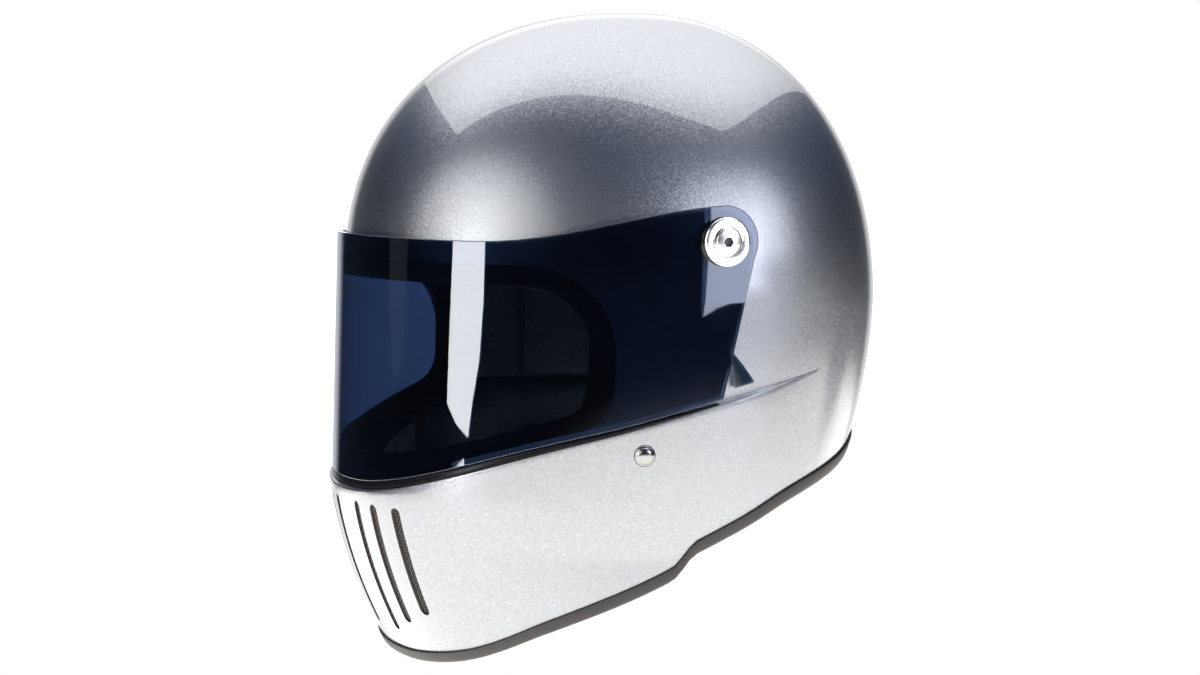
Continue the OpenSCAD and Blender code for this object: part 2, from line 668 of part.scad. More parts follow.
module sleeve(od, id, h) difference() {
    cylinder(d = od, h = h);
    translate([0, 0, -cut]) cylinder(d = id, h = h + 2 * cut);
}
module pivot_bushes() color("white") worn() at_pivot(ear_face) sleeve(bush_d, screw_d + 2 * run, bush_l);
pivot_bushes();
module friction_washers() color("#17171a") worn() at_pivot(ear_face)
    sleeve(cup_d - 2, bush_d + 2 * run, friction_t);
friction_washers();
module pivot_nuts() color("silver") worn() at_pivot(boss_in) difference() {
    union() {
        translate([0, 0, -nut_flange]) cylinder(d = nut_d, h = nut_flange);
        cylinder(d = barrel_d, h = ear_face - boss_in - nut_gap);
    }
    translate([0, 0, -nut_flange - cut]) cylinder(d = screw_d, h = 20);
}
pivot_nuts();

// Chin strap fixings

module strap_rivets() color("silver") worn() at_rivet() {
    rotate_extrude() polygon(concat([[0, 0], [rivet_d / 2, 0], [rivet_d / 2, 0.5], [rivet_d / 2 - 0.5, 0.8]],
        [for (b = steps(0, 90, 6)) [(rivet_d / 2 - 0.9) * cos(b), 0.7 + 1.7 * sin(b)]]));
    inner = rivet_grip + tail_in;
    translate([0, 0, -inner]) cylinder(d = shank_d, h = inner);
    translate([0, 0, -inner - tail_h]) cylinder(d = rivet_d - 1, h = tail_h);
}
strap_rivets();

module anchor_plates() color("silver") worn() at_rivet(-rivet_grip - plate_in) rotate([0, 0, rest_lean])
    difference() {
        linear_extrude(plate_t) rounded_2d(2 * plate_up, web_w + 4, 3);
        translate([0, 0, -cut]) cylinder(d = shank_d + 2 * run, h = plate_t + 2 * cut);
    }
anchor_plates();

// Webbing, as a band of even thickness along a path of inward distances and heights

function arc(c, r, from, to, n) = [for (b = steps(from, to, n)) c + r * [cos(b), sin(b)]];
function beside(path, k, d) = let (a = path[max(k - 1, 0)], b = path[min(k + 1, len(path) - 1)],
    t = (b - a) / norm(b - a)) path[k] + d * [-t[1], t[0]];
module webbing(path) rotate([90, 0, 0]) linear_extrude(web_w, center = true) mirror([1, 0]) polygon(concat(
    [for (k = [0:len(path) - 1]) beside(path, k, web_t / 2)],
    [for (k = [len(path) - 1:-1:0]) beside(path, k, -web_t / 2)]));

bend_r = 6;
fixed_path = concat([[web_in, rivet_s[2] + plate_up - 3]],
    arc([web_in + bend_r, exit_z + bend_r], bend_r, 180, 270, 6),
    arc([hang_in - bend_r, exit_z - bend_r], bend_r, 90, 0, 6));

module bar_pair_2d(r) {
    square([ring_gap, 2 * r], center = true);
    for (e = [-1, 1]) translate([e * ring_gap / 2, 0]) circle(r);
}

module rivet_hole() strap_side() translate([-tail_in, 0, rivet_s[2]]) rotate([0, 90, 0])
    cylinder(d = shank_d + 2 * run, h = tail_in);

module short_strap() color("#1b1b1e") difference() {
    strap_side() strap_with_loop();
    rivet_hole();
}
short_strap();

module strap_with_loop() difference() {
    union() {
        webbing(concat(fixed_path, [[hang_in, bar_z + loop_r - web_t / 2]]));
        translate([-hang_in, 0, bar_z]) rotate([90, 0, 0]) linear_extrude(web_w, center = true) bar_pair_2d(loop_r);
    }
    translate([-hang_in, 0, bar_z]) rotate([90, 0, 0]) linear_extrude(web_w + 2, center = true)
        bar_pair_2d(loop_r - web_t);
}

// D-rings, hanging from the short strap's loop

module d_ring() {
    leg = ring_depth - ring_wire - ring_r;
    wire_r = ring_wire / 2;
    rotate([90, 0, 0]) cylinder(r = wire_r, h = 2 * ring_r, center = true);
    for (e = [-1, 1]) translate([0, e * ring_r, 0]) {
        sphere(wire_r);
        translate([0, 0, -leg]) cylinder(r = wire_r, h = leg);
    }
    translate([0, 0, -leg]) rotate([90, 0, 90]) rotate([0, 0, 180]) rotate_extrude(angle = 180)
        translate([ring_r, 0]) circle(wire_r);
}
module ring_inner() color("silver") strap_side() translate([-hang_in - ring_gap / 2, 0, bar_z]) d_ring();
ring_inner();
module ring_outer() color("silver") strap_side() translate([-hang_in + ring_gap / 2, 0, bar_z]) d_ring();
ring_outer();

// Long strap, folded back on itself and closed with a press stud

lie_z = 0.5 + web_t / 2;
fold_r = 3;
lie_r = 10;
middle_in = rivet_s[0] / cos(strap_yaw);
fold_in = middle_in + strap_reach;
stud_in = middle_in - 26;
end_in = stud_in - 10;
long_path = concat(fixed_path, arc([hang_in + lie_r, lie_z + lie_r], lie_r, 180, 270, 6),
    arc([fold_in, lie_z + fold_r], fold_r, -90, 90, 8), [[end_in, lie_z + 2 * fold_r]]);
upper_z = lie_z + 2 * fold_r;
stud_d = 11;
post_d = 5;
eyelet_d = 7;

module at_stud(z) mirror([1, 0, 0]) strap_side() translate([-stud_in, 0, z]) children();

module long_strap() color("#1b1b1e") difference() {
    mirror([1, 0, 0]) difference() {
        strap_side() webbing(long_path);
        rivet_hole();
    }
    at_stud(upper_z - web_t) cylinder(d = eyelet_d + 2 * run, h = 2 * web_t);
}
long_strap();

module snap_post() color("silver") at_stud(lie_z + web_t / 2) {
    cylinder(d = stud_d, h = 0.8);
    cylinder(d = post_d, h = 2 * fold_r - web_t - 0.4);
}
snap_post();

module snap_socket() color("silver") at_stud(upper_z) {
    translate([0, 0, -web_t / 2 - 2.4]) sleeve(stud_d, post_d + 2 * run, 2.4);
    translate([0, 0, -web_t / 2]) sleeve(eyelet_d, post_d + 2 * run, web_t);
    translate([0, 0, web_t / 2]) cylinder(d = stud_d + 1, h = 1);
    translate([0, 0, web_t / 2 + 1]) cylinder(d1 = stud_d, d2 = stud_d - 3, h = 0.6);
}
snap_socket();

module rounded_2d(w, d, r) {
    square([w - 2 * r, d], center = true);
    square([w, d - 2 * r], center = true);
    for (x = [-1, 1], y = [-1, 1]) translate([x * (w / 2 - r), y * (d / 2 - r)]) circle(r);
}
module strap_sleeve() color("#26262b") mirror([1, 0, 0]) strap_side() translate([-hang_in, 0, 16])
    linear_extrude(26) difference() {
        rounded_2d(9, web_w + 7, 3.5);
        square([web_t + 0.6, web_w + 0.6], center = true);
    }
strap_sleeve();
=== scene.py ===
import json
import math

import bmesh
import bpy
from mathutils import Matrix, Vector


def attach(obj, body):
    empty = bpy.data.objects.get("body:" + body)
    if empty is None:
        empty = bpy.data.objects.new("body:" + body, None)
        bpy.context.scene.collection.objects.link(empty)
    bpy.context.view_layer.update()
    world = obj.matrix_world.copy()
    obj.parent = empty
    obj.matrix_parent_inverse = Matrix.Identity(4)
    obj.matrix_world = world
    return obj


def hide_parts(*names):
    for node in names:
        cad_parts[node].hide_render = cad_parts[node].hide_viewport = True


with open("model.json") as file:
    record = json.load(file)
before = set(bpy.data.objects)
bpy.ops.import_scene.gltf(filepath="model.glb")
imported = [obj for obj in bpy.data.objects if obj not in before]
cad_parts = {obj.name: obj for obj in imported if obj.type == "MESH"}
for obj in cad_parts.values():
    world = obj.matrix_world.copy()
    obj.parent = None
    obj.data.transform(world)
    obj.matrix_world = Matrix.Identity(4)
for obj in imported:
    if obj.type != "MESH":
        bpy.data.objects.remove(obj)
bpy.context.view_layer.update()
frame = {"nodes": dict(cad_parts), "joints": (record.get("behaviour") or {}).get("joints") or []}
nodes = frame["nodes"]
scene = bpy.context.scene

# Sizes in millimetres, in the worn attitude: X to the wearer's left, -Y the face, Z up

HALF_W = 119.4
FRONT_R = 153.0
REAR_R = 115.7
CROWN_H = 139.9
CROWN_LEAD = 6.5
SIDE_DRAW = 3.0
REAR_DRAW = 25.0
WALL = 2.5
PLAN_N = 2.268
RISE_N = 2.203
VISOR_N = 2.267
JAW_HALF = 123.6
JAW_FRONT = 158.8
JAW_TUCK = 13.0
JAW_TUCK_Z = -45.0
JAW_END = 88
JAW_FADE = 24
CHIN_LEVEL = 101
CHIN_LEAN = 0.17
CHIN_CURL = 0.0026
LEDGE_Z = -47.9
LEDGE_SLOPE = 0.28
LEDGE_DIP = 0.00116
LEDGE_ROUND = 0.9
GASKET_FRONT = 3.6
GASKET_SIDE = 1.8
EDGE_UP = 2.0
SLOT_FIRST = 14.5
SLOT_PITCH = 16.4
SLOT_HALF = 2.75
SLOT_TOP = -107.0
SLOT_FOOT = -172.0
SLOT_STEP = 6.0
LEAN = math.radians(26.7)
RIM_Y = -129.0
RIM_Z = -189.0
RIM_H = 6.0
RIM_T = 1.4
PORT_TOP = 4.5
PORT_BACK = 71.0
PORT_R_TOP = 33.0
PORT_R_LOW = 18.0
PORT_LOW = 42.0
PORT_SLOPE = math.radians(19.8)
MOULDING_W = 9.0
MOULDING_T = 1.2
VISOR_FRONT = 157.3
VISOR_HALF = 123.2
VISOR_EAR = 122.3
VISOR_T = 2.2
VISOR_TOP = 24.6
EAR_R = 17.6
EAR_FACE = 118.7
BOSS_IN = 113.3
CUP_FACE = 122.6
PIVOT_Y = 10.5
PIVOT_Z = 27.3
RIVET_BACK = 48
RIVET_Z = -75.5
POCKET_R = 13
PIVOT_BORE_R = 4.05
VISOR_BORE_R = 5.05
RIVET_BORE_R = 2.55
FLATS = 0.45
SEAT = 0.3
LINER_T = 27.0
CHEEK_BLOCK_T = 17.0
LINER_OUT = -WALL - SEAT - FLATS
LINING_OUT = LINER_OUT - LINER_T - SEAT - FLATS
LINING_T = 8.0


# Small forms

def ease(t):
    t = min(max(t, 0.0), 1.0)
    return t * t * (3 - 2 * t)


def mix(a, b, t):
    return a + (b - a) * t


def signed_pow(v, e):
    return math.copysign(abs(v) ** e, v)


def steps(start, end, n):
    return [mix(start, end, k / n) for k in range(n + 1)]


def polar(a, r=1.0):
    return r * math.cos(math.radians(a)), r * math.sin(math.radians(a))


def arc(centre, r, start, end, n):
    return [Vector(centre) + Vector(polar(b, r)) for b in steps(start, end, n)]


# Surfaces of the shell. Angle 0 is the face, 90 the wearer's left, 180 the back.
# A level below 0 is in millimetres, and above 0 an angle, up to 90 at the crown.

def ring_point(a, half, reach, back, z, lead=0.0):
    """A point of a plan with a half width, a reach to the face and one to the back."""
    c, s = polar(a)
    return Vector((half * signed_pow(s, 2 / PLAN_N),
                   -(reach if c > 0 else back) * signed_pow(c, 2 / PLAN_N) - lead, z))


def draw(z):
    """Share of the drawing in below level 0."""
    return (min(z, 0.0) / 100) ** 2


def base_half(z):
    return HALF_W - SIDE_DRAW * draw(z)


def rear_reach(z):
    return REAR_R - REAR_DRAW * draw(z)


def jaw_reach(z):
    d = max(-z - CHIN_LEVEL, 0.0)
    return JAW_FRONT - CHIN_LEAN * d - CHIN_CURL * d * d


def jaw_side(z):
    return JAW_HALF - JAW_TUCK * (max(JAW_TUCK_Z - z, 0.0) / 100) ** 1.8


def jaw_share(a):
    """1 where the chin bar stands out over the dome, down to 0 behind its ends."""
    return 1 - ease((min(abs(a), 360 - a) - JAW_END) / JAW_FADE)


def level_of(z):
    return z if z < 0 else math.degrees(math.asin(min((z / CROWN_H) ** (RISE_N / 2), 1.0)))


def level_in(s):
    """Share of the plan's size that is left at a level."""
    return 1.0 if s < 0 else max(math.cos(math.radians(s)), 0.0) ** (2 / RISE_N)


def level_z(s, g):
    return s if s < 0 else (CROWN_H + g) * math.sin(math.radians(s)) ** (2 / RISE_N)


def dome_point(a, s, g=0.0):
    """A point of the dome at an angle and a level, g outside its surface."""
    z = level_z(s, g)
    k = level_in(s)
    return ring_point(a, (min(base_half(z), jaw_side(z)) + g) * k, (min(FRONT_R, jaw_reach(z)) + g) * k,
                      (rear_reach(z) + g) * k, z, CROWN_LEAD * max(z, 0.0) / CROWN_H)


def dome_at(a, z, g=0.0):
    return dome_point(a, level_of(z), g)


def jaw_point(a, z, g=0.0):
    """A point of the jaw at an angle and a height, g outside its surface."""
    return ring_point(a, mix(base_half(z), max(base_half(z), jaw_side(z)), jaw_share(a)) + g,
                      jaw_reach(z) + g, rear_reach(z) + g, z)


def dome_x(y, z, g):
    """Half width of the dome at a place in the side view."""
    k = level_in(level_of(z))
    reach = (min(FRONT_R, jaw_reach(z)) + g) * k
    half = (min(base_half(z), jaw_side(z)) + g) * k
    return half * (1 - min(abs(y) / reach, 1.0) ** PLAN_N) ** (1 / PLAN_N)


def rim_z(y, h):
    """Height of the rim's edge, raised by h: the slope that the helmet stands on, and a low wave in it."""
    rise = (3.0 * ease((y + 118) / 32) - 1.6 * ease((y + 85) / 50) + 6.6 * ease((y + 29.5) / 12)
            - 8.0 * ease((y - 20) / 76))
    return RIM_Z + math.tan(LEAN) * (y - RIM_Y) + (h + rise) / math.cos(LEAN)


def settle(surface, height, z):
    """The point of a surface whose own y gives its height."""
    for _ in range(9):
        z = height(surface(z).y)
    return surface(z)


def rim_point(a, h, g):
    return settle(lambda z: jaw_point(a, z, g), lambda y: rim_z(y, h), -120.0)


def rim_inside(a, h, g):
    return settle(lambda z: dome_point(a, z, g), lambda y: rim_z(y, h), -100.0)


def ledge_z(y):
    return LEDGE_Z + LEDGE_SLOPE * y - LEDGE_DIP * max(-y - 70, 0.0) ** 2


def gasket_h(y):
    return mix(GASKET_SIDE, GASKET_FRONT, ease((-y - 50) / 75))


def visor_low(y):
    return ledge_z(y) + gasket_h(y) + SEAT


def visor_high(y):
    return mix(VISOR_TOP, PIVOT_Z + EAR_R, ease((y + 130) / 128))


# Eye port in the side view, as (y, z)

TOP_CORNER = (-PORT_BACK - PORT_R_TOP, PORT_TOP - PORT_R_TOP)
LOW_CORNER = (-PORT_BACK - PORT_R_LOW, -PORT_LOW)
LOW_TURN = 90 - math.degrees(PORT_SLOPE)
LOW_END = (LOW_CORNER[0] + PORT_R_LOW * math.cos(math.radians(LOW_TURN)),
           LOW_CORNER[1] - PORT_R_LOW * math.sin(math.radians(LOW_TURN)))


def port_floor(y, e=0.0):
    return LOW_END[1] + math.tan(PORT_SLOPE) * (y - LOW_END[0]) - e / math.cos(PORT_SLOPE)


# From the worn attitude in millimetres to the standing frame in metres

TURN = Matrix.Rotation(-LEAN, 4, "X")
pivot = Vector(next(j["pos_m"] for j in frame["joints"] if j["name"] == "visor_lift"))
STAND = (Matrix.Translation(pivot - TURN @ Vector((0, -PIVOT_Y, PIVOT_Z)) * 0.001)
         @ TURN @ Matrix.Scale(0.001, 4))
MIRROR = Matrix.Scale(-1, 4, (1, 0, 0))


def aim(direction):
    """A turn that takes Z to a direction."""
    return direction.to_track_quat("Z", "Y").to_matrix().to_4x4()


# Camera, on the axes of the worn attitude. Its place and its lens come from the fit to the outline.

AZIMUTH, ELEVATION, ROLL = 66.572, 3.728, 1.562
CAMERA_AWAY = 1600
CAMERA_LEFT = 19.887
CAMERA_DOWN = 27.721
FOCAL_PIXELS = 3097.1
PHOTO_WIDTH = 1200


def worn_axes(azimuth, elevation, roll):
    ca, sa = polar(azimuth)
    ce, se = polar(elevation)
    back = Vector((sa * ce, -ca * ce, se))
    right = Vector((ca, sa, 0))
    up = back.cross(right)
    cr, sr = polar(roll)
    return cr * right + sr * up, cr * up - sr * right, back, right, up


def photo_camera():
    right, up, back, plain_right, plain_up = worn_axes(AZIMUTH, ELEVATION, ROLL)
    eye = STAND @ (back * CAMERA_AWAY - plain_right * CAMERA_LEFT - plain_up * CAMERA_DOWN)
    turn = TURN.to_3x3()
    camera = bpy.data.objects.new("photo_camera", bpy.data.cameras.new("photo_camera"))
    camera.data.sensor_width = 36
    camera.data.sensor_fit = "HORIZONTAL"
    camera.data.lens = camera.data.sensor_width * FOCAL_PIXELS / PHOTO_WIDTH
    camera.data.clip_start = 0.05
    camera.data.clip_end = 200
    basis = Matrix((turn @ right, turn @ up, turn @ back)).transposed()
    camera.matrix_world = Matrix.Translation(eye) @ basis.to_4x4()
    scene.collection.objects.link(camera)
    scene.camera = camera
    return -(turn @ back)


view_direction = photo_camera()
worn_up, ground_up, rear_shade = ((TURN.to_3x3() @ Vector(v)).normalized()
                                  for v in ((0, 0, 1), (-0.043, -0.025, 1), (0.03, 0.99, 0.03)))


# Node helpers

def node_adder(tree):
    """A way to add nodes to a tree with their values and links."""
    def add(kind, wires=None, **values):
        node = tree.nodes.new(kind)
        for key, value in values.items():
            if key in node.inputs:
                node.inputs[key].default_value = value
            else:
                setattr(node, key, value)
        for socket, source in (wires or {}).items():
            tree.links.new(source, node.inputs[socket])
        return node

    return add


def material(name):
    """A new material with its shader, and ways to add nodes and to link them to it."""
    made = bpy.data.materials.new(name)
    made.use_nodes = True
    tree = made.node_tree
    shader = tree.nodes["Principled BSDF"]

    def wire(source, socket):
        tree.links.new(source, shader.inputs[socket])

    return made, shader, node_adder(tree), wire


def bare_material(name):
    """A new material without a shader, and a way to add nodes to it."""
    made = bpy.data.materials.new(name)
    made.use_nodes = True
    made.node_tree.nodes.clear()
    return made, node_adder(made.node_tree)


def finish_of(shader, **values):
    for key, value in values.items():
        shader.inputs[key.replace("_", " ")].default_value = value


def ramp_of(add, source, stops):
    ramp = add("ShaderNodeValToRGB", {"Fac": source})
    elements = ramp.color_ramp.elements
    while len(elements) < len(stops):
        elements.new(0.5)
    for element, (place, colour) in zip(elements, stops):
        element.position = place
        element.color = (*colour, 1)
    return ramp.outputs["Color"]


def object_place(add):
    return add("ShaderNodeTexCoord").outputs["Object"]


def object_noise(add, scale, detail=3.0, stretch=(1, 1, 1)):
    turned = add("ShaderNodeMapping", {"Vector": object_place(add)}, Scale=stretch)
    noise = add("ShaderNodeTexNoise", {"Vector": turned.outputs["Vector"]}, Scale=scale, Detail=detail)
    return noise.outputs["Fac"]


def roughened(add, wire, source, low, high):
    rough = add("ShaderNodeMapRange", {"Value": source}, **{"To Min": low, "To Max": high})
    wire(rough.outputs["Result"], "Roughness")


def bumped(add, wire, height, distance, strength):
    bump = add("ShaderNodeBump", {"Height": height}, Distance=distance, Strength=strength)
    wire(bump.outputs["Normal"], "Normal")


# Materials

def silver_lacquer():
    """Metal flakes that lean each its own way, under a clear coat."""
    made, shader, add, wire = material("silver_lacquer")
    finish_of(shader, Metallic=1.0, Coat_Weight=1.0, Coat_Roughness=0.02, Coat_IOR=1.65)
    flakes = add("ShaderNodeTexVoronoi", {"Vector": object_place(add)}, Scale=2600.0)
    tilt = add("ShaderNodeVectorMath", {0: flakes.outputs["Color"]}, operation="SUBTRACT")
    tilt.inputs[1].default_value = (0.5, 0.5, 0.5)
    spread = add("ShaderNodeVectorMath", {0: tilt.outputs[0]}, operation="SCALE", Scale=0.15)
    facing = add("ShaderNodeNewGeometry").outputs["Normal"]
    leaned = add("ShaderNodeVectorMath", {0: facing, 1: spread.outputs[0]}, operation="ADD")
    glint = add("ShaderNodeVectorMath", {0: leaned.outputs[0]}, operation="NORMALIZE")
    wire(glint.outputs[0], "Normal")
    greys = [(0.0, (0.19, 0.198, 0.22)), (0.55, (0.24, 0.25, 0.272)),
             (0.84, (0.3, 0.31, 0.33)), (0.94, (0.37, 0.38, 0.4))]
    wire(ramp_of(add, flakes.outputs["Color"], greys), "Base Color")
    roughened(add, wire, object_noise(add, 40.0), 0.34, 0.37)
    return made


def smoked_polycarbonate():
    made, shader, add, wire = material("smoked_polycarbonate")
    finish_of(shader, Transmission_Weight=1.0, IOR=1.58)
    tints = [(0.3, (0.0751, 0.1099, 0.1861)), (0.7, (0.0814, 0.1173, 0.1956))]
    wire(ramp_of(add, object_noise(add, 9.0, 2.0), tints), "Base Color")
    roughened(add, wire, object_noise(add, 60.0, 4.0, (1, 1, 3)), 0.0, 0.025)
    return made


def visor_painted_light_band(name, clear, dark, light):
    """The visor's sheet along an edge, part opaque so that its colour paints light: a glow of blue light
    along the lower hem, or painted shade on the cut edges at the back.
    """
    made, shader, add, wire = material(name)
    finish_of(shader, Transmission_Weight=clear, IOR=1.58, Roughness=0.03)
    wire(ramp_of(add, object_noise(add, 30.0, 2.0), [(0.3, dark), (0.7, light)]), "Base Color")
    return made


def rubber(name, dark, light, low, high, grain, shine=0.5):
    made, shader, add, wire = material(name)
    finish_of(shader, Specular_IOR_Level=shine)
    speck = object_noise(add, grain, 5.0)
    wire(ramp_of(add, speck, [(0.3, dark), (0.75, light)]), "Base Color")
    roughened(add, wire, speck, low, high)
    bumped(add, wire, speck, 0.0002, 0.25)
    return made


def metal(name, colour, low, high, grain, stretch=(1, 1, 1)):
    made, shader, add, wire = material(name)
    finish_of(shader, Metallic=1.0)
    marks = object_noise(add, grain, 4.0, stretch)
    dull = tuple(0.88 * c for c in colour)
    wire(ramp_of(add, marks, [(0.25, dull), (0.7, colour)]), "Base Color")
    roughened(add, wire, marks, low, high)
    return made


def plastic(name, colour, roughness):
    made, shader, add, wire = material(name)
    cloud = object_noise(add, 300.0)
    pale = tuple(min(1.0, 1.15 * c + 0.004) for c in colour)
    wire(ramp_of(add, cloud, [(0.3, colour), (0.7, pale)]), "Base Color")
    roughened(add, wire, cloud, roughness - 0.06, roughness + 0.06)
    return made


def bead_foam():
    made, shader, add, wire = material("bead_foam")
    beads = add("ShaderNodeTexVoronoi", {"Vector": object_place(add)}, Scale=330.0).outputs["Distance"]
    wire(ramp_of(add, beads, [(0.0, (0.045, 0.045, 0.048)), (0.75, (0.02, 0.02, 0.022))]), "Base Color")
    finish_of(shader, Roughness=0.72)
    low = add("ShaderNodeMath", {0: beads}, operation="MULTIPLY")
    low.inputs[1].default_value = -1.0
    bumped(add, wire, low.outputs[0], 0.0008, 0.6)
    return made


CLOTH_SHEEN = (0.6, 0.62, 0.68, 1)


def woven(name, dark, light, scale, sheen=0.35, coordinate="Object", ratio=1.0):
    """Cloth with crossed ribs, paler on their crests."""
    made, shader, add, wire = material(name)
    place = add("ShaderNodeTexCoord").outputs[coordinate]
    slant = (0.6, 0.5, 0.7) if coordinate == "Object" else (0, 0, 0)
    spot = add("ShaderNodeMapping", {"Vector": place}, Rotation=slant, Scale=(1, ratio, 1)).outputs["Vector"]
    warp, weft = (add("ShaderNodeTexWave", {"Vector": spot}, bands_direction=way, Scale=scale,
                      Distortion=0.6) for way in "XY")
    cross = add("ShaderNodeMath", {0: warp.outputs["Fac"], 1: weft.outputs["Fac"]}, operation="MULTIPLY")
    height = add("ShaderNodeMath", {0: cross.outputs[0], 1: object_noise(add, 500.0, 4.0)}, operation="ADD")
    finish_of(shader, Roughness=0.9, Sheen_Weight=sheen, Sheen_Roughness=0.45, Sheen_Tint=CLOTH_SHEEN)
    wire(ramp_of(add, height.outputs[0], [(0.35, dark), (1.25, light)]), "Base Color")
    bumped(add, wire, height.outputs[0], 0.0005, 0.7)
    return made


def spacer_cloth(name, dark, light):
    """Knitted spacer cloth: small open cells between raised yarns."""
    made, shader, add, wire = material(name)
    cells = add("ShaderNodeTexVoronoi", {"Vector": object_place(add)}, Scale=560.0).outputs["Distance"]
    height = add("ShaderNodeMath", {0: cells, 1: object_noise(add, 90.0)}, operation="ADD")
    finish_of(shader, Roughness=0.92, Sheen_Weight=0.3, Sheen_Roughness=0.45, Sheen_Tint=CLOTH_SHEEN)
    wire(ramp_of(add, height.outputs[0], [(0.55, dark), (1.2, light)]), "Base Color")
    bumped(add, wire, cells, 0.0006, 0.7)
    return made


def vent_gauze():
    """Expanded mesh: diamond openings between bright strands."""
    made, shader, add, wire = material("vent_gauze")
    diagonal = add("ShaderNodeMapping", {"Vector": object_place(add)}, Rotation=(0, math.radians(45), 0))
    one, two = (add("ShaderNodeTexWave", {"Vector": diagonal.outputs["Vector"]}, bands_direction=way,
                    Scale=190.0) for way in "XZ")
    strand = add("ShaderNodeMath", {0: one.outputs["Fac"], 1: two.outputs["Fac"]}, operation="MAXIMUM")
    finish_of(shader, Metallic=0.6, Roughness=0.42)
    browns = [(0.6, (0.012, 0.011, 0.01)), (0.85, (0.16, 0.14, 0.12)), (1.0, (0.4, 0.36, 0.32))]
    wire(ramp_of(add, strand.outputs[0], browns), "Base Color")
    bumped(add, wire, strand.outputs[0], 0.0012, 0.8)
    return made


# Blues that paint a glow of light along the visor's lower hem.
PAINTED_GLOW_BLUES = (0.045, 0.095, 0.23), (0.06, 0.12, 0.28)

lacquer = silver_lacquer()
smoke = smoked_polycarbonate()
# The two lower-hem finishes are partly opaque blue: a painted glow of light running along the sheet's lower
# edge, stronger towards the back.
painted_glow_hem = visor_painted_light_band("smoke_bright_hem", 0.8, *PAINTED_GLOW_BLUES)
soft_painted_glow_hem = visor_painted_light_band("smoke_soft_hem", 0.92, *PAINTED_GLOW_BLUES)
# The cut-edge finish is opaque and near black: painted shade on the visor's top and rear edges at the back.
painted_shade_edge = visor_painted_light_band("smoke_cut_edge", 0.0, (0.007, 0.01, 0.02), (0.012, 0.016, 0.03))
raw_fibre = plastic("raw_glass_fibre", (0.022, 0.021, 0.022), 0.6)
port_rubber = rubber("port_rubber", (0.006, 0.006, 0.007), (0.012, 0.012, 0.014), 0.38, 0.52, 700.0)
gasket_rubber = rubber("gasket_rubber", (0.003, 0.003, 0.004), (0.007, 0.007, 0.009), 0.16, 0.26, 700.0,
                       0.12)
edge_rubber = rubber("edge_rubber", (0.03, 0.028, 0.028), (0.05, 0.047, 0.046), 0.5, 0.66, 900.0, 0.3)
chrome = metal("chrome_plate", (0.6, 0.6, 0.6), 0.06, 0.12, 120.0)
polished = metal("polished_steel", (0.29, 0.295, 0.295), 0.15, 0.22, 120.0)
satin = metal("satin_nickel", (0.8, 0.785, 0.77), 0.16, 0.22, 120.0)
wire_steel = metal("wire_steel", (0.13, 0.118, 0.112), 0.3, 0.42, 400.0)
# A near-black finish for painted shade: on the walls of the screw sockets, and as a ring of painted shadow
# under the rivet heads.
painted_shade_black = plastic("painted_shade_black", (0.05, 0.047, 0.046), 0.5)
zinc = metal("zinc_steel", (0.55, 0.56, 0.58), 0.3, 0.45, 260.0, (1, 1, 6))
nylon = plastic("natural_nylon", (0.75, 0.73, 0.68), 0.45)
acetal = plastic("black_acetal", (0.02, 0.02, 0.024), 0.4)
foam = bead_foam()
gauze = vent_gauze()
knit = woven("lining_knit", (0.012, 0.012, 0.015), (0.05, 0.052, 0.06), 260.0)
padding = spacer_cloth("lining_mesh_cloth", (0.009, 0.0095, 0.011), (0.05, 0.052, 0.058))
webbing = woven("strap_webbing", (0.008, 0.008, 0.01), (0.045, 0.046, 0.052), 9.0, 0.25, "UV", 3.0)
thread = plastic("stitching_thread", (0.1, 0.1, 0.11), 0.6)


# Building helpers

def lofted(bm, loops, round_u=False, round_v=False, index=0):
    """Lays a grid of quads over rows of points, joined up where a direction goes round."""
    across = len(loops)
    along = len(loops[0])
    columns = across if round_u else across - 1
    rows = along if round_v else along - 1
    if not bm.loops.layers.uv:
        bm.loops.layers.uv.new("UVMap")
    before = set(bm.faces)
    made = bmesh.ops.create_grid(bm, x_segments=columns, y_segments=rows, size=1.0, calc_uvs=True)["verts"]
    for vert in made:
        i = round((vert.co.x + 1) / 2 * columns)
        j = round((vert.co.y + 1) / 2 * rows)
        vert.co = loops[i % across][j % along]
    for face in bm.faces:
        if face not in before:
            face.material_index = index
    bmesh.ops.remove_doubles(bm, verts=made, dist=0.0005)


def outward(bm):
    bmesh.ops.recalc_face_normals(bm, faces=bm.faces[:])


def open_edges(bm):
    return [e for e in bm.edges if e.is_boundary]


def closed_up(bm):
    """Joins the open edges of two skins, and turns every face outwards."""
    rims = open_edges(bm)
    if rims:
        bmesh.ops.bridge_loops(bm, edges=rims)
    outward(bm)


def capped(bm):
    """Closes the ends of bands and tubes, and turns every face outwards."""
    bmesh.ops.holes_fill(bm, edges=open_edges(bm), sides=0)
    outward(bm)


def raised(bm, faces, by):
    """Extrudes flat faces to a block."""
    side = bmesh.ops.extrude_face_region(bm, geom=faces)["geom"]
    bmesh.ops.translate(bm, verts=[g for g in side if isinstance(g, bmesh.types.BMVert)], vec=by)


def smoothed(mesh, sharp):
    mesh.shade_smooth()
    mesh.set_sharp_from_angle(angle=math.radians(sharp))


def piece_of(name, bm, finishes, place=STAND, sharp=38, smooth=True):
    bm.transform(place)
    mesh = bpy.data.meshes.new(name)
    bm.to_mesh(mesh)
    bm.free()
    for finish in finishes:
        mesh.materials.append(finish)
    if smooth:
        smoothed(mesh, sharp)
    piece = bpy.data.objects.new(name, mesh)
    scene.collection.objects.link(piece)
    return piece


def stands_for(piece, body, slot, *names):
    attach(piece, body)
    if names:
        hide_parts(*names)


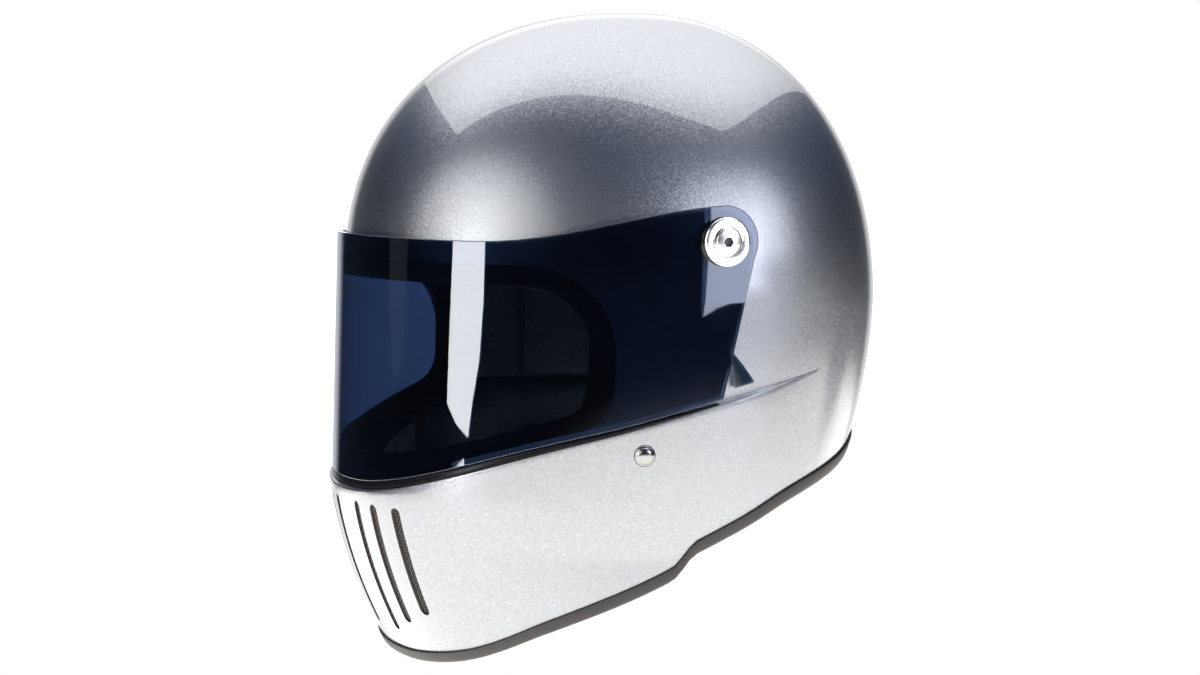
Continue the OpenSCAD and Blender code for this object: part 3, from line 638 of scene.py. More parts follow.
def combined(piece, others, operation):
    """Cuts a piece by others or joins them to it, after which the others go."""
    for other in others:
        change = piece.modifiers.new(operation, "BOOLEAN")
        change.operation = operation
        change.solver = "EXACT"
        change.object = other
    graph = bpy.context.evaluated_depsgraph_get()
    mesh = bpy.data.meshes.new_from_object(piece.evaluated_get(graph))
    piece.modifiers.clear()
    piece.data = mesh
    for other in others:
        bpy.data.objects.remove(other)


def cut_by(piece, *cutters):
    combined(piece, cutters, "DIFFERENCE")


def swept(name, loops, round_u, finish, place=STAND, sharp=38):
    """A piece from one section carried round, or along a line with its ends closed."""
    bm = bmesh.new()
    lofted(bm, loops, round_u, True)
    capped(bm)
    return piece_of(name, bm, [finish], place, sharp)


def mirrored(bm):
    """Adds the other side of a piece that lies on one side of the middle."""
    twin = bmesh.ops.duplicate(bm, geom=bm.verts[:] + bm.edges[:] + bm.faces[:])["geom"]
    verts = [g for g in twin if isinstance(g, bmesh.types.BMVert)]
    faces = [g for g in twin if isinstance(g, bmesh.types.BMFace)]
    bmesh.ops.transform(bm, verts=verts, matrix=MIRROR)
    bmesh.ops.reverse_faces(bm, faces=faces)


def turned(name, profile, place, count, finishes):
    """A pair of turned parts, one on each side, from a profile of (radius, height)."""
    bm = bmesh.new()
    verts = [bm.verts.new((r, 0, h)) for r, h in profile]
    edges = [bm.edges.new(pair) for pair in zip(verts, verts[1:])]
    bmesh.ops.spin(bm, geom=verts + edges, cent=(0, 0, 0), axis=(0, 0, 1), angle=math.tau, steps=count,
                   use_merge=True)
    bmesh.ops.remove_doubles(bm, verts=bm.verts[:], dist=0.0005)
    bm.transform(place)
    outward(bm)
    mirrored(bm)
    return piece_of(name, bm, finishes, sharp=50)


def direction_at(path, k, round_path):
    """Direction of a path at one of its points."""
    count = len(path)
    before = path[(k - 1) % count] if round_path else path[max(k - 1, 0)]
    after = path[(k + 1) % count] if round_path else path[min(k + 1, count - 1)]
    return (after - before).normalized()


def tube(bm, path, radius, round_path, sides):
    """A round cord along a path of points."""
    loops = []
    up = None
    for k, point in enumerate(path):
        along = direction_at(path, k, round_path)
        if up is None:
            up = along.orthogonal().normalized()
        up = (up - along * up.dot(along)).normalized()
        side = along.cross(up)
        turns = [math.tau * j / sides for j in range(sides)]
        loops.append([point + radius * (math.cos(turn) * up + math.sin(turn) * side) for turn in turns])
    lofted(bm, loops, round_path, True)


# Shell: one closed skin, then the eye port, the slots and the bores cut out of it

def shell_column(a):
    rim = rim_point(a, EDGE_UP, 0)
    lip = settle(lambda z: jaw_point(a, z), ledge_z, -60.0)
    foot = settle(lambda z: dome_point(a, min(z, -0.01)), ledge_z, -60.0)
    depth = (lip.xy - foot.xy).length
    r = min(LEDGE_ROUND, 0.45 * depth)
    column = [jaw_point(a, z) for z in steps(rim.z, lip.z - r, 30)]
    column += [jaw_point(a, lip.z - r + r * math.sin(b), -r * (1 - math.cos(b)))
               for b in [math.radians(15 * k) for k in range(1, 7)]]
    inner = jaw_point(a, lip.z, -r)
    column += [inner.lerp(foot, k / 3) for k in range(1, 4)]
    column += [dome_point(a, z) for z in steps(foot.z, -1.5, 16)[1:]]
    column += [dome_point(a, s) for s in [90 * (k / 56) ** 1.1 for k in range(1, 57)]]
    return column


def rounded(bm, corners, cut, count):
    bmesh.ops.bevel(bm, geom=corners, offset=cut, affect="VERTICES", segments=count, profile=0.5,
                    material=-1)


def port_cutter():
    bm = bmesh.new()
    low_face = port_floor(-PORT_BACK)
    corners = [(-400, PORT_TOP), (-PORT_BACK, PORT_TOP), (-PORT_BACK, low_face), (-400, port_floor(-400))]
    verts = [bm.verts.new((-300, y, z)) for y, z in corners]
    bm.faces.new(verts)
    rounded(bm, [verts[1]], PORT_R_TOP, 12)
    low = next(v for v in bm.verts if abs(v.co.y + PORT_BACK) < 1e-3 and abs(v.co.z - low_face) < 1e-3)
    rounded(bm, [low], PORT_R_LOW * math.tan(math.radians(LOW_TURN / 2)), 12)
    raised(bm, bm.faces[:], (600, 0, 0))
    outward(bm)
    return piece_of("port_cutter", bm, [lacquer, raw_fibre], smooth=False)


def slot_cutter():
    bm = bmesh.new()
    for k in range(3):
        x = SLOT_FIRST + SLOT_PITCH * k
        foot = SLOT_FOOT + SLOT_STEP * k
        left, right = x - SLOT_HALF, x + SLOT_HALF
        corners = (left, SLOT_TOP), (right, SLOT_TOP), (right, foot), (left, foot)
        verts = [bm.verts.new((x, -90, z)) for x, z in corners]
        bm.faces.new(verts)
        rounded(bm, verts, SLOT_HALF * 0.998, 8)
    raised(bm, bm.faces[:], (0, -120, 0))
    mirrored(bm)
    outward(bm)
    for face in bm.faces:
        face.material_index = 1
    return piece_of("slot_cutter", bm, [lacquer, raw_fibre], smooth=False)


PIVOT_PLACE = Matrix.Translation((0, -PIVOT_Y, PIVOT_Z)) @ Matrix.Rotation(math.pi / 2, 4, "Y")


def round_cutter(name, place, radius, low, high):
    bm = bmesh.new()
    bmesh.ops.create_cone(bm, cap_ends=True, segments=48, radius1=radius, radius2=radius, depth=high - low,
                          matrix=place @ Matrix.Translation((0, 0, (low + high) / 2)))
    mirrored(bm)
    outward(bm)
    return piece_of(name, bm, [lacquer, raw_fibre], smooth=False)


RIVET_ANGLE = math.degrees(math.acos((RIVET_BACK / jaw_reach(RIVET_Z)) ** (PLAN_N / 2)))
RIVET_P = jaw_point(RIVET_ANGLE, RIVET_Z)
RIVET_DIR = (jaw_point(RIVET_ANGLE + 1, RIVET_Z) - jaw_point(RIVET_ANGLE - 1, RIVET_Z)).cross(
    jaw_point(RIVET_ANGLE, RIVET_Z + 1) - jaw_point(RIVET_ANGLE, RIVET_Z - 1)).normalized()
RIVET_GRIP = (RIVET_P - dome_point(RIVET_ANGLE, RIVET_Z, -WALL)).dot(RIVET_DIR)
RIVET_PLACE = Matrix.Translation(RIVET_P) @ aim(RIVET_DIR)


def make_shell():
    bm = bmesh.new()
    angles = [k * 1.5 for k in range(240)]
    lofted(bm, [shell_column(a) for a in angles], round_u=True)
    inner = []
    for a in angles:
        foot = rim_inside(a, EDGE_UP, -WALL)
        inner.append([dome_point(a, z, -WALL) for z in steps(foot.z, -3.0, 14)]
                     + [dome_point(a, 90 * (k / 22) ** 1.1, -WALL) for k in range(1, 23)])
    lofted(bm, inner, round_u=True, index=1)
    closed_up(bm)
    shell = piece_of("shell", bm, [lacquer, raw_fibre])
    cut_by(shell, port_cutter(), slot_cutter(), round_cutter("pocket", PIVOT_PLACE, POCKET_R, EAR_FACE, 140),
           round_cutter("bore", PIVOT_PLACE, PIVOT_BORE_R, 90, 130),
           round_cutter("hole", RIVET_PLACE, RIVET_BORE_R, -25, 20))
    smoothed(shell.data, 32)
    stands_for(shell, "shell", "shell_lacquer", "outer_shell")


make_shell()


# Woven wire set into the chin slots

def jaw_front(x, z, g):
    half = max(base_half(z), jaw_side(z)) + g
    return Vector((x, -(jaw_reach(z) + g) * (1 - (abs(x) / half) ** PLAN_N) ** (1 / PLAN_N), z))


def make_slot_wire():
    depth = -1.5
    weave = 0.16
    wire_r = 0.27
    bm = bmesh.new()
    for k in range(3):
        middle = SLOT_FIRST + SLOT_PITCH * k
        foot = SLOT_FOOT + SLOT_STEP * k + 0.5
        top = SLOT_TOP - 0.5
        levels = steps(foot, top, round((top - foot) / 1.5))
        for i, z in enumerate(levels[1:-1]):
            lean = weave if i % 2 else -weave
            tube(bm, [jaw_front(middle + x, z, depth + lean * turn) for x, turn in
                      ((-2.9, 0), (-1.8, 1), (-0.6, -1), (0.6, 1), (1.8, -1), (2.9, 0))], wire_r, False, 5)
        for j, x in enumerate((-1.8, -0.6, 0.6, 1.8)):
            points = [jaw_front(middle + x, z, depth + (weave if (i + j) % 2 else -weave))
                      for i, z in enumerate(levels)]
            tube(bm, points, wire_r, False, 5)
    mirrored(bm)
    capped(bm)
    piece = piece_of("slot_wire", bm, [wire_steel], sharp=80)
    stands_for(piece, "shell", "mesh")


make_slot_wire()


# Rubber moulding round the eye port

def moulding_profile():
    t = MOULDING_T
    under = -WALL - FLATS
    low = under - t
    w = MOULDING_W
    return [(w, 0.3), (w, 0.7), (w - 0.5, 1.05), (w - 1.3, t), (4, t + 0.05), (0.9, t), (-0.1, 1.05),
            (-0.8, 0.7), (-1.0, 0.2), (-1, 0.4 - WALL), (-0.6, low + 0.7), (0.4, low), (w - 3, low),
            (w - 3, under), (-SEAT, under), (-SEAT, SEAT)]


def port_loops():
    profile = moulding_profile()
    top_end = math.degrees(math.acos((-TOP_CORNER[0] / FRONT_R) ** (PLAN_N / 2)))
    low_end = math.degrees(math.acos((-LOW_END[0] / FRONT_R) ** (PLAN_N / 2)))

    def corner(centre, r, b):
        loop = []
        for e, g in profile:
            c, s = polar(b, r + e)
            y, z = centre[0] + c, centre[1] + s
            loop.append(Vector((dome_x(y, z, g), y, z)))
        return loop

    def low_loop(a):
        return [settle(lambda z: dome_at(a, z, g), lambda y: port_floor(y, e), -60.0) for e, g in profile]

    half = [[dome_at(a, PORT_TOP + e, g) for e, g in profile] for a in steps(0, top_end, 40)]
    half += [corner(TOP_CORNER, PORT_R_TOP, b) for b in steps(86, 0, 18)]
    half += [corner(LOW_CORNER, PORT_R_LOW, b) for b in steps(0, -LOW_TURN, 14)]
    half += [low_loop(low_end * (1 - k / 40)) for k in range(1, 41)]
    return half + [[Vector((-p.x, p.y, p.z)) for p in loop] for loop in half[-2:0:-1]]


def make_port_moulding():
    piece = swept("port_rubber", port_loops(), True, port_rubber)
    stands_for(piece, "shell", "black_rubber", "port_moulding")


make_port_moulding()


# Rubber of the lower rim

def make_rim_rubber():
    t = RIM_T
    floor = RIM_H - 4.0 - 1.5 * SEAT
    outside = [(floor, 0.1), (RIM_H - 0.2, 0.1), (RIM_H, 0.3), (RIM_H, t - 0.6), (RIM_H - 0.2, t - 0.2),
               (RIM_H - 0.7, t), (2.2, t), (1.1, t - 0.15), (0.35, t - 0.6), (0, 0.2)]
    low = -WALL - t - FLATS
    within = [(0, -WALL - 0.4), (0.4, low + 0.6), (1.2, low), (RIM_H - 0.6, low), (RIM_H, low + 0.5),
              (RIM_H, -WALL - FLATS), (floor, -WALL - FLATS)]
    loops = [[rim_point(a, h, g) for h, g in outside] + [rim_inside(a, h, g) for h, g in within]
             for a in steps(0, 360, 300)[:-1]]
    piece = swept("rim_edge_rubber", loops, True, edge_rubber)
    stands_for(piece, "shell", "rim_rubber", "rim_rubber")


make_rim_rubber()


# Gasket on the ledge under the visor

GASKET_END = 87
GASKET_TAPER = 76


def make_gasket():
    lift = 0.05
    loops = []
    for a in steps(-GASKET_END, GASKET_END, 136):
        full = 1 - 0.6 * ease((abs(a) - GASKET_TAPER) / (GASKET_END - GASKET_TAPER))
        face = ring_point(a, VISOR_HALF - SEAT, VISOR_FRONT - SEAT, 0, 0)
        back = dome_at(a, -70, MOULDING_T + 0.4)

        def at(share, v):
            p = face.lerp(back, share)
            p.z = ledge_z(p.y) + lift + v * full * (gasket_h(p.y) - lift)
            return p

        loops.append([at(0, 0), at(-0.02, 0.3), at(0, 0.7), at(0.12, 0.93), at(0.3, 1), at(1, 1), at(1, 0)])
    piece = swept("gasket_strip", loops, False, gasket_rubber)
    stands_for(piece, "shell", "black_rubber", "visor_gasket")


make_gasket()


# Visor: a bent sheet with flat ears and lift tabs

def visor_edge_low(y):
    """Height of the visor's lower edge, round the ear's end at the back."""
    heel = -PIVOT_Y + 1.5
    if y <= heel:
        return visor_low(y)
    rear = -PIVOT_Y + EAR_R
    line = mix(visor_low(heel), PIVOT_Z, (y - heel) / (rear - heel))
    bow = PIVOT_Z - math.sqrt(max(EAR_R ** 2 - (y + PIVOT_Y) ** 2, 0.0))
    return min(line, bow)


def visor_edge_high(y):
    if y <= -PIVOT_Y - 1:
        return visor_high(y)
    return PIVOT_Z + math.sqrt(max(EAR_R ** 2 - (y + PIVOT_Y) ** 2, 0.0))


def visor_stations():
    """Plan of the outer face as (point, inward direction), from the right ear's end round the front."""
    def plan(a, t):
        c, s = polar(a)
        x = (VISOR_HALF - t) * signed_pow(s, 2 / VISOR_N)
        ear = VISOR_EAR - t
        return Vector((max(-ear, min(ear, x)), -(VISOR_FRONT - t) * signed_pow(c, 2 / VISOR_N), 0))

    end = -PIVOT_Y + EAR_R
    ears = [end - 0.02 - (end - 0.02 + 2.5) * (1 - math.cos(math.radians(b))) for b in steps(0, 90, 26)]
    half = [(Vector((VISOR_EAR, y, 0)), Vector((-1, 0, 0))) for y in ears]
    for a in steps(88.5, 0, 118):
        here = plan(a, 0)
        if here.y < -2.6:
            half.append((here, (plan(a, VISOR_T) - here).normalized()))
    other = [(Vector((-p.x, p.y, 0)), Vector((-d.x, d.y, 0))) for p, d in half[-2::-1]]
    return half + other


FACE_ROWS = 40
EDGE_ROWS = 7
# Back from these places along the visor, the top and rear edges get painted shade, and the lower hem a
# stronger painted glow.
PAINTED_SHADE_FROM_Y = -100
STRONG_GLOW_FROM_Y = -131


def visor_section(point, inward):
    """One section of the sheet: up the outer face, over its rounded edge, down the inner face and back."""
    low = visor_edge_low(point.y)
    high = visor_edge_high(point.y)
    r = min(0.35, 0.3 * (high - low))
    hem = r + 0.06
    heights = [low + r] + steps(low + hem, high - hem, FACE_ROWS - 2) + [high - r]

    def at(depth, z):
        return point + inward * depth + Vector((0, 0, z))

    first = [polar(b, r) for b in (30, 60, 90)]
    last = [polar(b, r) for b in (0, 30, 60)]
    loop = [at(0, z) for z in heights]
    loop += [at(r - c, high - r + s) for c, s in first]
    loop += [at(VISOR_T - r + s, high - r + c) for c, s in last]
    loop += [at(VISOR_T, z) for z in heights[::-1]]
    loop += [at(VISOR_T - r + c, low + r - s) for c, s in first]
    return loop + [at(r - s, low + r - c) for c, s in last]


def painted_light_band_of(row, middle):
    """Finish of a face in a row of the section: 0 plain, 1 lower hem with a strong painted glow, 2 lower hem
    with a softer painted glow, 3 top or rear edge with painted shade.
    """
    inner_end = 2 * FACE_ROWS + EDGE_ROWS
    upper_edge = FACE_ROWS - 0.1 < row < FACE_ROWS + EDGE_ROWS
    rear_edge = middle.z > visor_low(middle.y) + 4 and (row < 1 or row > inner_end)
    if middle.y > PAINTED_SHADE_FROM_Y and (rear_edge or upper_edge):
        return 3
    if row < 1 or row > inner_end + 3:
        return 1 if middle.y > STRONG_GLOW_FROM_Y else 2
    if middle.y > STRONG_GLOW_FROM_Y and (row < 2 or row > inner_end + 2):
        return 2
    return 0


def make_visor():
    bm = bmesh.new()
    loops = [visor_section(point, inward) for point, inward in visor_stations()]
    lofted(bm, loops, False, True)
    # Faces along the edges take the finishes that paint a glow of light or shade on the sheet.
    rows = len(loops[0])
    uv = bm.loops.layers.uv.active
    for face in bm.faces:
        row = rows * sum(loop[uv].uv.y for loop in face.loops) / len(face.loops)
        face.material_index = painted_light_band_of(row, face.calc_center_median())
    capped(bm)
    visor = piece_of("visor_shield", bm, [smoke, painted_glow_hem, soft_painted_glow_hem, painted_shade_edge])
    combined(visor, [lift_tabs()], "UNION")
    cut_by(visor, round_cutter("visor_bore", PIVOT_PLACE, VISOR_BORE_R, 110, 130))
    smoothed(visor.data, 40)
    stands_for(visor, "visor", "smoke_visor", "visor")


def lift_tabs():
    """The two tabs at the visor's rear corners, which the fingers lift."""
    bm = bmesh.new()
    w = 12.0
    outline = [(-0.3, 0), (w * 0.45, -w * 0.75), (w * 0.8, -w * 1.46), (w * 0.76, -w * 1.54),
               (-0.3, -w * 1.6)]
    face = bm.faces.new([bm.verts.new((0, y, z)) for y, z in outline])
    raised(bm, [face], (VISOR_T, 0, 0))

    def rim(edge):
        one, other = (v.co for v in edge.verts)
        return (one - other).length > 0.5 and abs(one.x - other.x) < 0.1 and min(one.y, other.y) > -0.2

    bmesh.ops.bevel(bm, geom=[e for e in bm.edges if rim(e)], offset=0.4, affect="EDGES", segments=2,
                    profile=0.5, material=-1)
    bm.transform(Matrix.Translation((VISOR_EAR - VISOR_T, -6.0, -24.0))
                 @ Matrix.Rotation(math.atan2(4.3, 22), 4, "X") @ Matrix.Rotation(math.radians(-6), 4, "Z"))
    mirrored(bm)
    outward(bm)
    return piece_of("lift_tabs", bm, [smoke])


make_visor()


# Pivots and rivets: turned parts

def make_finishing_washers():
    profile = [(3.05, 0), (11.6, 0), (11.88, 0.12), (12, 0.4)] + arc((10.7, 1.5), 1.3, 0, 90, 10) + [
        (8.2, 2.8), (7.75, 2.72), (7.45, 2.5), (7.3, 2.2), (7.3, 1.5), (7.15, 1.28), (6.9, 1.2), (3.05, 1.2),
        (3.05, 0)]
    piece = turned("washer_cups", profile, PIVOT_PLACE @ Matrix.Translation((0, 0, CUP_FACE)), 96, [satin])
    stands_for(piece, "shell", "chrome", "finishing_washers")


def make_screws():
    up = CUP_FACE + 1.2
    profile = [(0, BOSS_IN - 3), (2.5, BOSS_IN - 3), (2.95, BOSS_IN - 2.5), (2.95, up), (6.0, up),
               (6.3, up + 0.25), (6.3, up + 1.5), (6.22, up + 1.8), (6.0, up + 2.02), (5.7, up + 2.1),
               (0, up + 2.2)]
    piece = turned("pivot_screw_heads", profile, PIVOT_PLACE, 96, [satin, painted_shade_black])
    # A hex socket in each head. Its walls take the near-black finish, a painted shade in the recess.
    bm = bmesh.new()
    bmesh.ops.create_cone(bm, cap_ends=True, segments=6, radius1=2.6, radius2=2.6, depth=8,
                          matrix=PIVOT_PLACE @ Matrix.Translation((0, 0, CUP_FACE + 1.5 + 4)))
    mirrored(bm)
    outward(bm)
    for face in bm.faces:
        face.material_index = 1
    cut_by(piece, piece_of("socket", bm, [satin, painted_shade_black], smooth=False))
    smoothed(piece.data, 50)
    stands_for(piece, "shell", "chrome", "pivot_screws")


def make_rivets():
    crown = [(4.1 * c, 0.75 + 1.65 * s) for c, s in (polar(b) for b in steps(8, 90, 12))]
    inner = -(RIVET_GRIP + 5.3)
    profile = [(0, inner - 1.4), (4.1, inner - 1.4), (4.5, inner - 1.0), (4.5, inner), (2.5, inner),
               (2.5, 0), (4.75, 0), (5, 0.2), (4.95, 0.5), (4.5, 0.78)] + crown
    piece = turned("strap_rivet_heads", profile, RIVET_PLACE, 72, [polished])
    stands_for(piece, "shell", "chrome", "strap_rivets")
    # A thin near-black ring round each rivet head's flange: a painted contact shadow where the head meets
    # the shell.
    shadow_ring = [(4.6, 0.0), (5.3, 0.0), (5.3, 0.14), (5.12, 0.3), (4.6, 0.36), (4.6, 0.0)]
    piece = turned("strap_rivet_shadow_rings", shadow_ring, RIVET_PLACE, 72, [painted_shade_black])
    stands_for(piece, "shell", "black_rubber")


make_finishing_washers()
make_screws()
make_rivets()


# Strap frame: -X leads square away from the inner wall, Y along the wall, Z up from the surface

RIVET_S = STAND @ (RIVET_P - RIVET_GRIP * RIVET_DIR) * 1000
OUTWARD = TURN.to_3x3() @ RIVET_DIR
STRAP_YAW = math.atan2(OUTWARD.y, OUTWARD.x)
STRAP = (Matrix.Scale(0.001, 4) @ Matrix.Translation((RIVET_S.x, RIVET_S.y, 0))
         @ Matrix.Rotation(STRAP_YAW, 4, "Z"))
MIRROR_STRAP = MIRROR @ STRAP
WEB_W = 22.0
WEB_T = 2.0
PLATE_IN = 2.7
WEB_IN = PLATE_IN + SEAT + WEB_T / 2
HANG_IN = 41.0
EXIT_Z = 51.5
BAR_Z = 33.0
RING_GAP = 4.5
LOOP_R = 4.1


def box_cutter(name, place, start, end, width, low, high):
    bm = bmesh.new()
    centre = Vector((-(start + end) / 2, 0, (low + high) / 2))
    bmesh.ops.create_cube(bm, size=1.0, matrix=Matrix.Translation(centre)
                          @ Matrix.Diagonal((end - start, width, high - low, 1)))
    return piece_of(name, bm, [knit], place, smooth=False)


def strap_room(place):
    """Room for the strap and its anchor plate in the cheek lining."""
    return (box_cutter("strap_room", place, 1, HANG_IN + 10, WEB_W + 5, EXIT_Z - 5, EXIT_Z + 5),
            box_cutter("plate_room", place, -4, PLATE_IN + 5, WEB_W + 10, EXIT_Z - 10, RIVET_S.z + 13))


# Padded lining

def swell(u, v):
    return math.sqrt(max((1 - (2 * u - 1) ** 4) * (1 - (2 * v - 1) ** 4), 0.0))


def patch_head(y):
    return -56.0 if y > -58 else min(-56.0, port_floor(y) - 8)


def pad_of(name, at, thin, full, columns, rows, node):
    """A pad with a plain back and a swelling face. Its `at` gives the place for (u, v, depth)."""
    bm = bmesh.new()
    for depth in (lambda u, v: 0, lambda u, v: mix(thin, full, swell(u, v))):
        lofted(bm, [[at(u, v, depth(u, v)) for v in steps(0, 1, rows)] for u in steps(0, 1, columns)])
    closed_up(bm)
    piece = piece_of(name, bm, [padding], sharp=60)
    stands_for(piece, "shell", "lining", node)
    return piece


def patch_pad(name, start, end, g, full, edge, rim, node, side=1):
    """A pad from the rim up, over a range of angles, which stays under the eye port."""
    def at(u, v, depth):
        a = mix(start, end, u)
        level = mix(rim_inside(a, rim, g).z, patch_head(dome_point(a, -60, g).y), v)
        p = dome_point(a, level, g - depth)
        p.x *= side
        return p

    return pad_of(name, at, edge, full, 44, 30, node)


PAD_OUT = LINER_OUT - CHEEK_BLOCK_T - SEAT - FLATS
for side, word, place in ((1, "left", STRAP), (-1, "right", MIRROR_STRAP)):
    pad = patch_pad("cheek_cushion_" + word, 50, 100, PAD_OUT, 17, 6, 34, "cheek_pad_" + word, side)
    cut_by(pad, *strap_room(place))
patch_pad("neck_cushion", 104, 256, LINER_OUT, 26, 8, 8, "neck_roll")


def band_pad(name, start, end, foot, node, columns, rows):
    """A pad round the head, from a foot up to the crown pad."""
    def at(u, v, depth):
        return dome_point(mix(start, end, u), mix(foot, 29, v), LINING_OUT - depth)

    pad_of(name, at, 3, LINING_T, columns, rows, node)


band_pad("brow_cushion", -58, 58, level_of(PORT_TOP + MOULDING_W + 1), "brow_pad", 60, 14)
band_pad("nape_cushion", 78, 282, -52, "nape_pad", 90, 40)


def make_crown_pad():
    foot = 32
    levels = steps(foot, 90, 40)
    turns = range(0, 360, 3)

    def quilted(a, s):
        quilt = abs(math.sin(math.radians(4 * a))) ** 0.35 if s < 80 else 1.0
        hem = min(1.0, (s - foot) / 4)
        return dome_point(a, s, LINING_OUT - mix(3.5, LINING_T, quilt * hem ** 0.5))

    bm = bmesh.new()
    lofted(bm, [[dome_point(a, s, LINING_OUT) for s in levels] for a in turns], True)
    lofted(bm, [[quilted(a, s) for s in levels] for a in turns], True)
    closed_up(bm)
    piece = piece_of("crown_cushion", bm, [padding], sharp=70)
    stands_for(piece, "shell", "lining", "crown_pad")


make_crown_pad()


# Webbing: a flat band with rounded selvedges along a path of inward distances and heights

def finer(path, gap):
    """The path with points no further apart than a gap."""
    fine = [path[0]]
    for a, b in zip(path, path[1:]):
        n = max(1, math.ceil((b - a).length / gap))
        fine += [a.lerp(b, k / n) for k in range(1, n + 1)]
    return fine


def square_to(t):
    return Vector((-t.y, t.x)).normalized()


def band(bm, path, round_path=False):
    r = WEB_T / 2
    flat = WEB_W / 2 - r
    section = arc((flat, 0), r, -90, 90, 6) + arc((-flat, 0), r, 90, 270, 6)
    loops = []
    for k, p in enumerate(path):
        side = square_to(direction_at(path, k, round_path))
        loops.append([Vector((-(p.x + side.x * d), w, p.y + side.y * d)) for w, d in section])
    lofted(bm, loops, round_path, True)
    if not round_path:
        bmesh.ops.holes_fill(bm, edges=open_edges(bm), sides=0)


STITCH = 2.6
THREAD_R = 0.24
ON_WEB = WEB_T / 2 + 0.02


def stitched(name, path, rows, place):
    """Rows of stitches on a band, each at a place across it and a height over its middle."""
    bm = bmesh.new()
    fine = finer(path, STITCH)
    for across, height in rows:
        for a, b in zip(fine, fine[1:]):
            side = square_to(b - a) * height
            start = a.lerp(b, 0.15) + side
            end = a.lerp(b, 0.8) + side
            points = [Vector((-p.x, across, p.y)) for p in (start, start.lerp(end, 0.5) + side * 0.12, end)]
            tube(bm, points, THREAD_R, False, 5)
    outward(bm)
    piece = piece_of(name, bm, [thread], place)
    stands_for(piece, "shell", "webbing")


FIXED = [Vector((WEB_IN, RIVET_S.z + 9))] + arc((WEB_IN + 6, EXIT_Z + 6), 6, 180, 270, 10) + arc(
    (HANG_IN - 6, EXIT_Z - 6), 6, 90, 0, 10)


def make_short_strap():
    bm = bmesh.new()
    path = finer(FIXED + [Vector((HANG_IN, BAR_Z + LOOP_R - WEB_T / 2))], 2.0)
    band(bm, path)
    half = RING_GAP / 2
    ring = LOOP_R - WEB_T / 2
    stadium = arc((HANG_IN + half, BAR_Z), ring, 90, -90, 12)
    stadium += arc((HANG_IN - half, BAR_Z), ring, 270, 90, 12)
    band(bm, finer(stadium + [stadium[0]], 1.5)[:-1], True)
    outward(bm)
    piece = piece_of("short_webbing", bm, [webbing], STRAP, 60)
    stands_for(piece, "shell", "webbing", "short_strap")
    drop = [Vector((HANG_IN, BAR_Z + LOOP_R + 1)), Vector((HANG_IN, BAR_Z + LOOP_R + 7))]
    rows = [(across, height) for across in (-9, -6.5, -4, -1.5, 1.5, 4, 6.5, 9)
            for height in (-ON_WEB, ON_WEB)]
    stitched("short_strap_stitching", drop, rows, STRAP)


MIDDLE_IN = RIVET_S.x / math.cos(STRAP_YAW)
FOLD_IN = MIDDLE_IN + 12
STUD_IN = MIDDLE_IN - 26
LIE_Z = 1.5
FOLD_R = 3


def make_long_strap():
    end = Vector((STUD_IN - 10, LIE_Z + 2 * FOLD_R))
    path = FIXED + arc((HANG_IN + 10, LIE_Z + 10), 10, 180, 270, 10)
    path += arc((FOLD_IN, LIE_Z + FOLD_R), FOLD_R, -90, 90, 14) + [end]
    bm = bmesh.new()
    band(bm, finer(path, 2.5))
    outward(bm)
    piece = piece_of("long_webbing", bm, [webbing], MIRROR_STRAP, 60)
    stands_for(piece, "shell", "webbing", "long_strap")
    fold = [end + Vector((2, 0)), end + Vector((24, 0))]
    stitched("long_strap_stitching", fold, [(-9.3, ON_WEB), (9.3, ON_WEB)], MIRROR_STRAP)


def make_sleeve():
    half_t = 4.5
    half_w = WEB_W / 2 + 3.5
    r = 3.5
    room_t = WEB_T / 2 + 0.3
    room_w = WEB_W / 2 + 0.3
    foot = 16
    outer = []
    for cx, cy, start in ((1, 1, 0), (-1, 1, 90), (-1, -1, 180), (1, -1, 270)):
        outer += arc((cx * (half_t - r), cy * (half_w - r)), r, start, start + 90, 6)
    loops = []
    for z, grow in ((0, -1.1), (0.5, -0.5), (1.6, -0.1), (6, 0.0), (13, 0.12), (20, 0.0), (24.4, -0.1),
                    (25.5, -0.5), (26, -1.1)):
        loops.append([Vector((x + grow * math.copysign(1, x), y + 0.6 * grow * math.copysign(1, y),
                              foot + z)) for x, y in outer])
    inner = [(max(-room_t, min(room_t, x)), max(-room_w, min(room_w, y * room_w / half_w)))
             for x, y in outer]
    loops += [[Vector((x, y, foot + z)) for x, y in inner] for z in (26, 13, 0)]
    piece = swept("strap_comfort_sleeve", loops, True, knit,
                  MIRROR_STRAP @ Matrix.Translation((-HANG_IN, 0, 0)), 70)
    stands_for(piece, "shell", "lining", "strap_sleeve")


def make_d_ring(name, shift):
    """Wire bent to a D: a straight bar, two legs and a round bow."""
    wire_r = 2.0
    height = 24.0
    r = 14.5
    bend = 2.0
    leg = height - 2 * wire_r - r
    straight = r - bend
    path = [(y, 0) for y in steps(-straight, straight, 8)] + arc((straight, -bend), bend, 75, 0, 5)
    path += [(r, -z) for z in steps(3, leg, 3)] + arc((0, -leg), r, -6, -174, 28)
    path += [(-r, -z) for z in steps(leg, 3, 3)] + arc((-straight, -bend), bend, 180, 105, 5)
    bm = bmesh.new()
    tube(bm, [Vector((0, y, z)) for y, z in path], wire_r, True, 20)
    outward(bm)
    piece = piece_of(name + "_wire", bm, [chrome],
                     STRAP @ Matrix.Translation((-HANG_IN + shift, 0, BAR_Z)), 70)
    stands_for(piece, name, "chrome", name)


make_short_strap()
make_long_strap()
make_sleeve()
make_d_ring("ring_outer", RING_GAP / 2)
make_d_ring("ring_inner", -RING_GAP / 2)


# CAD nodes that stay as they are, with their own finishes

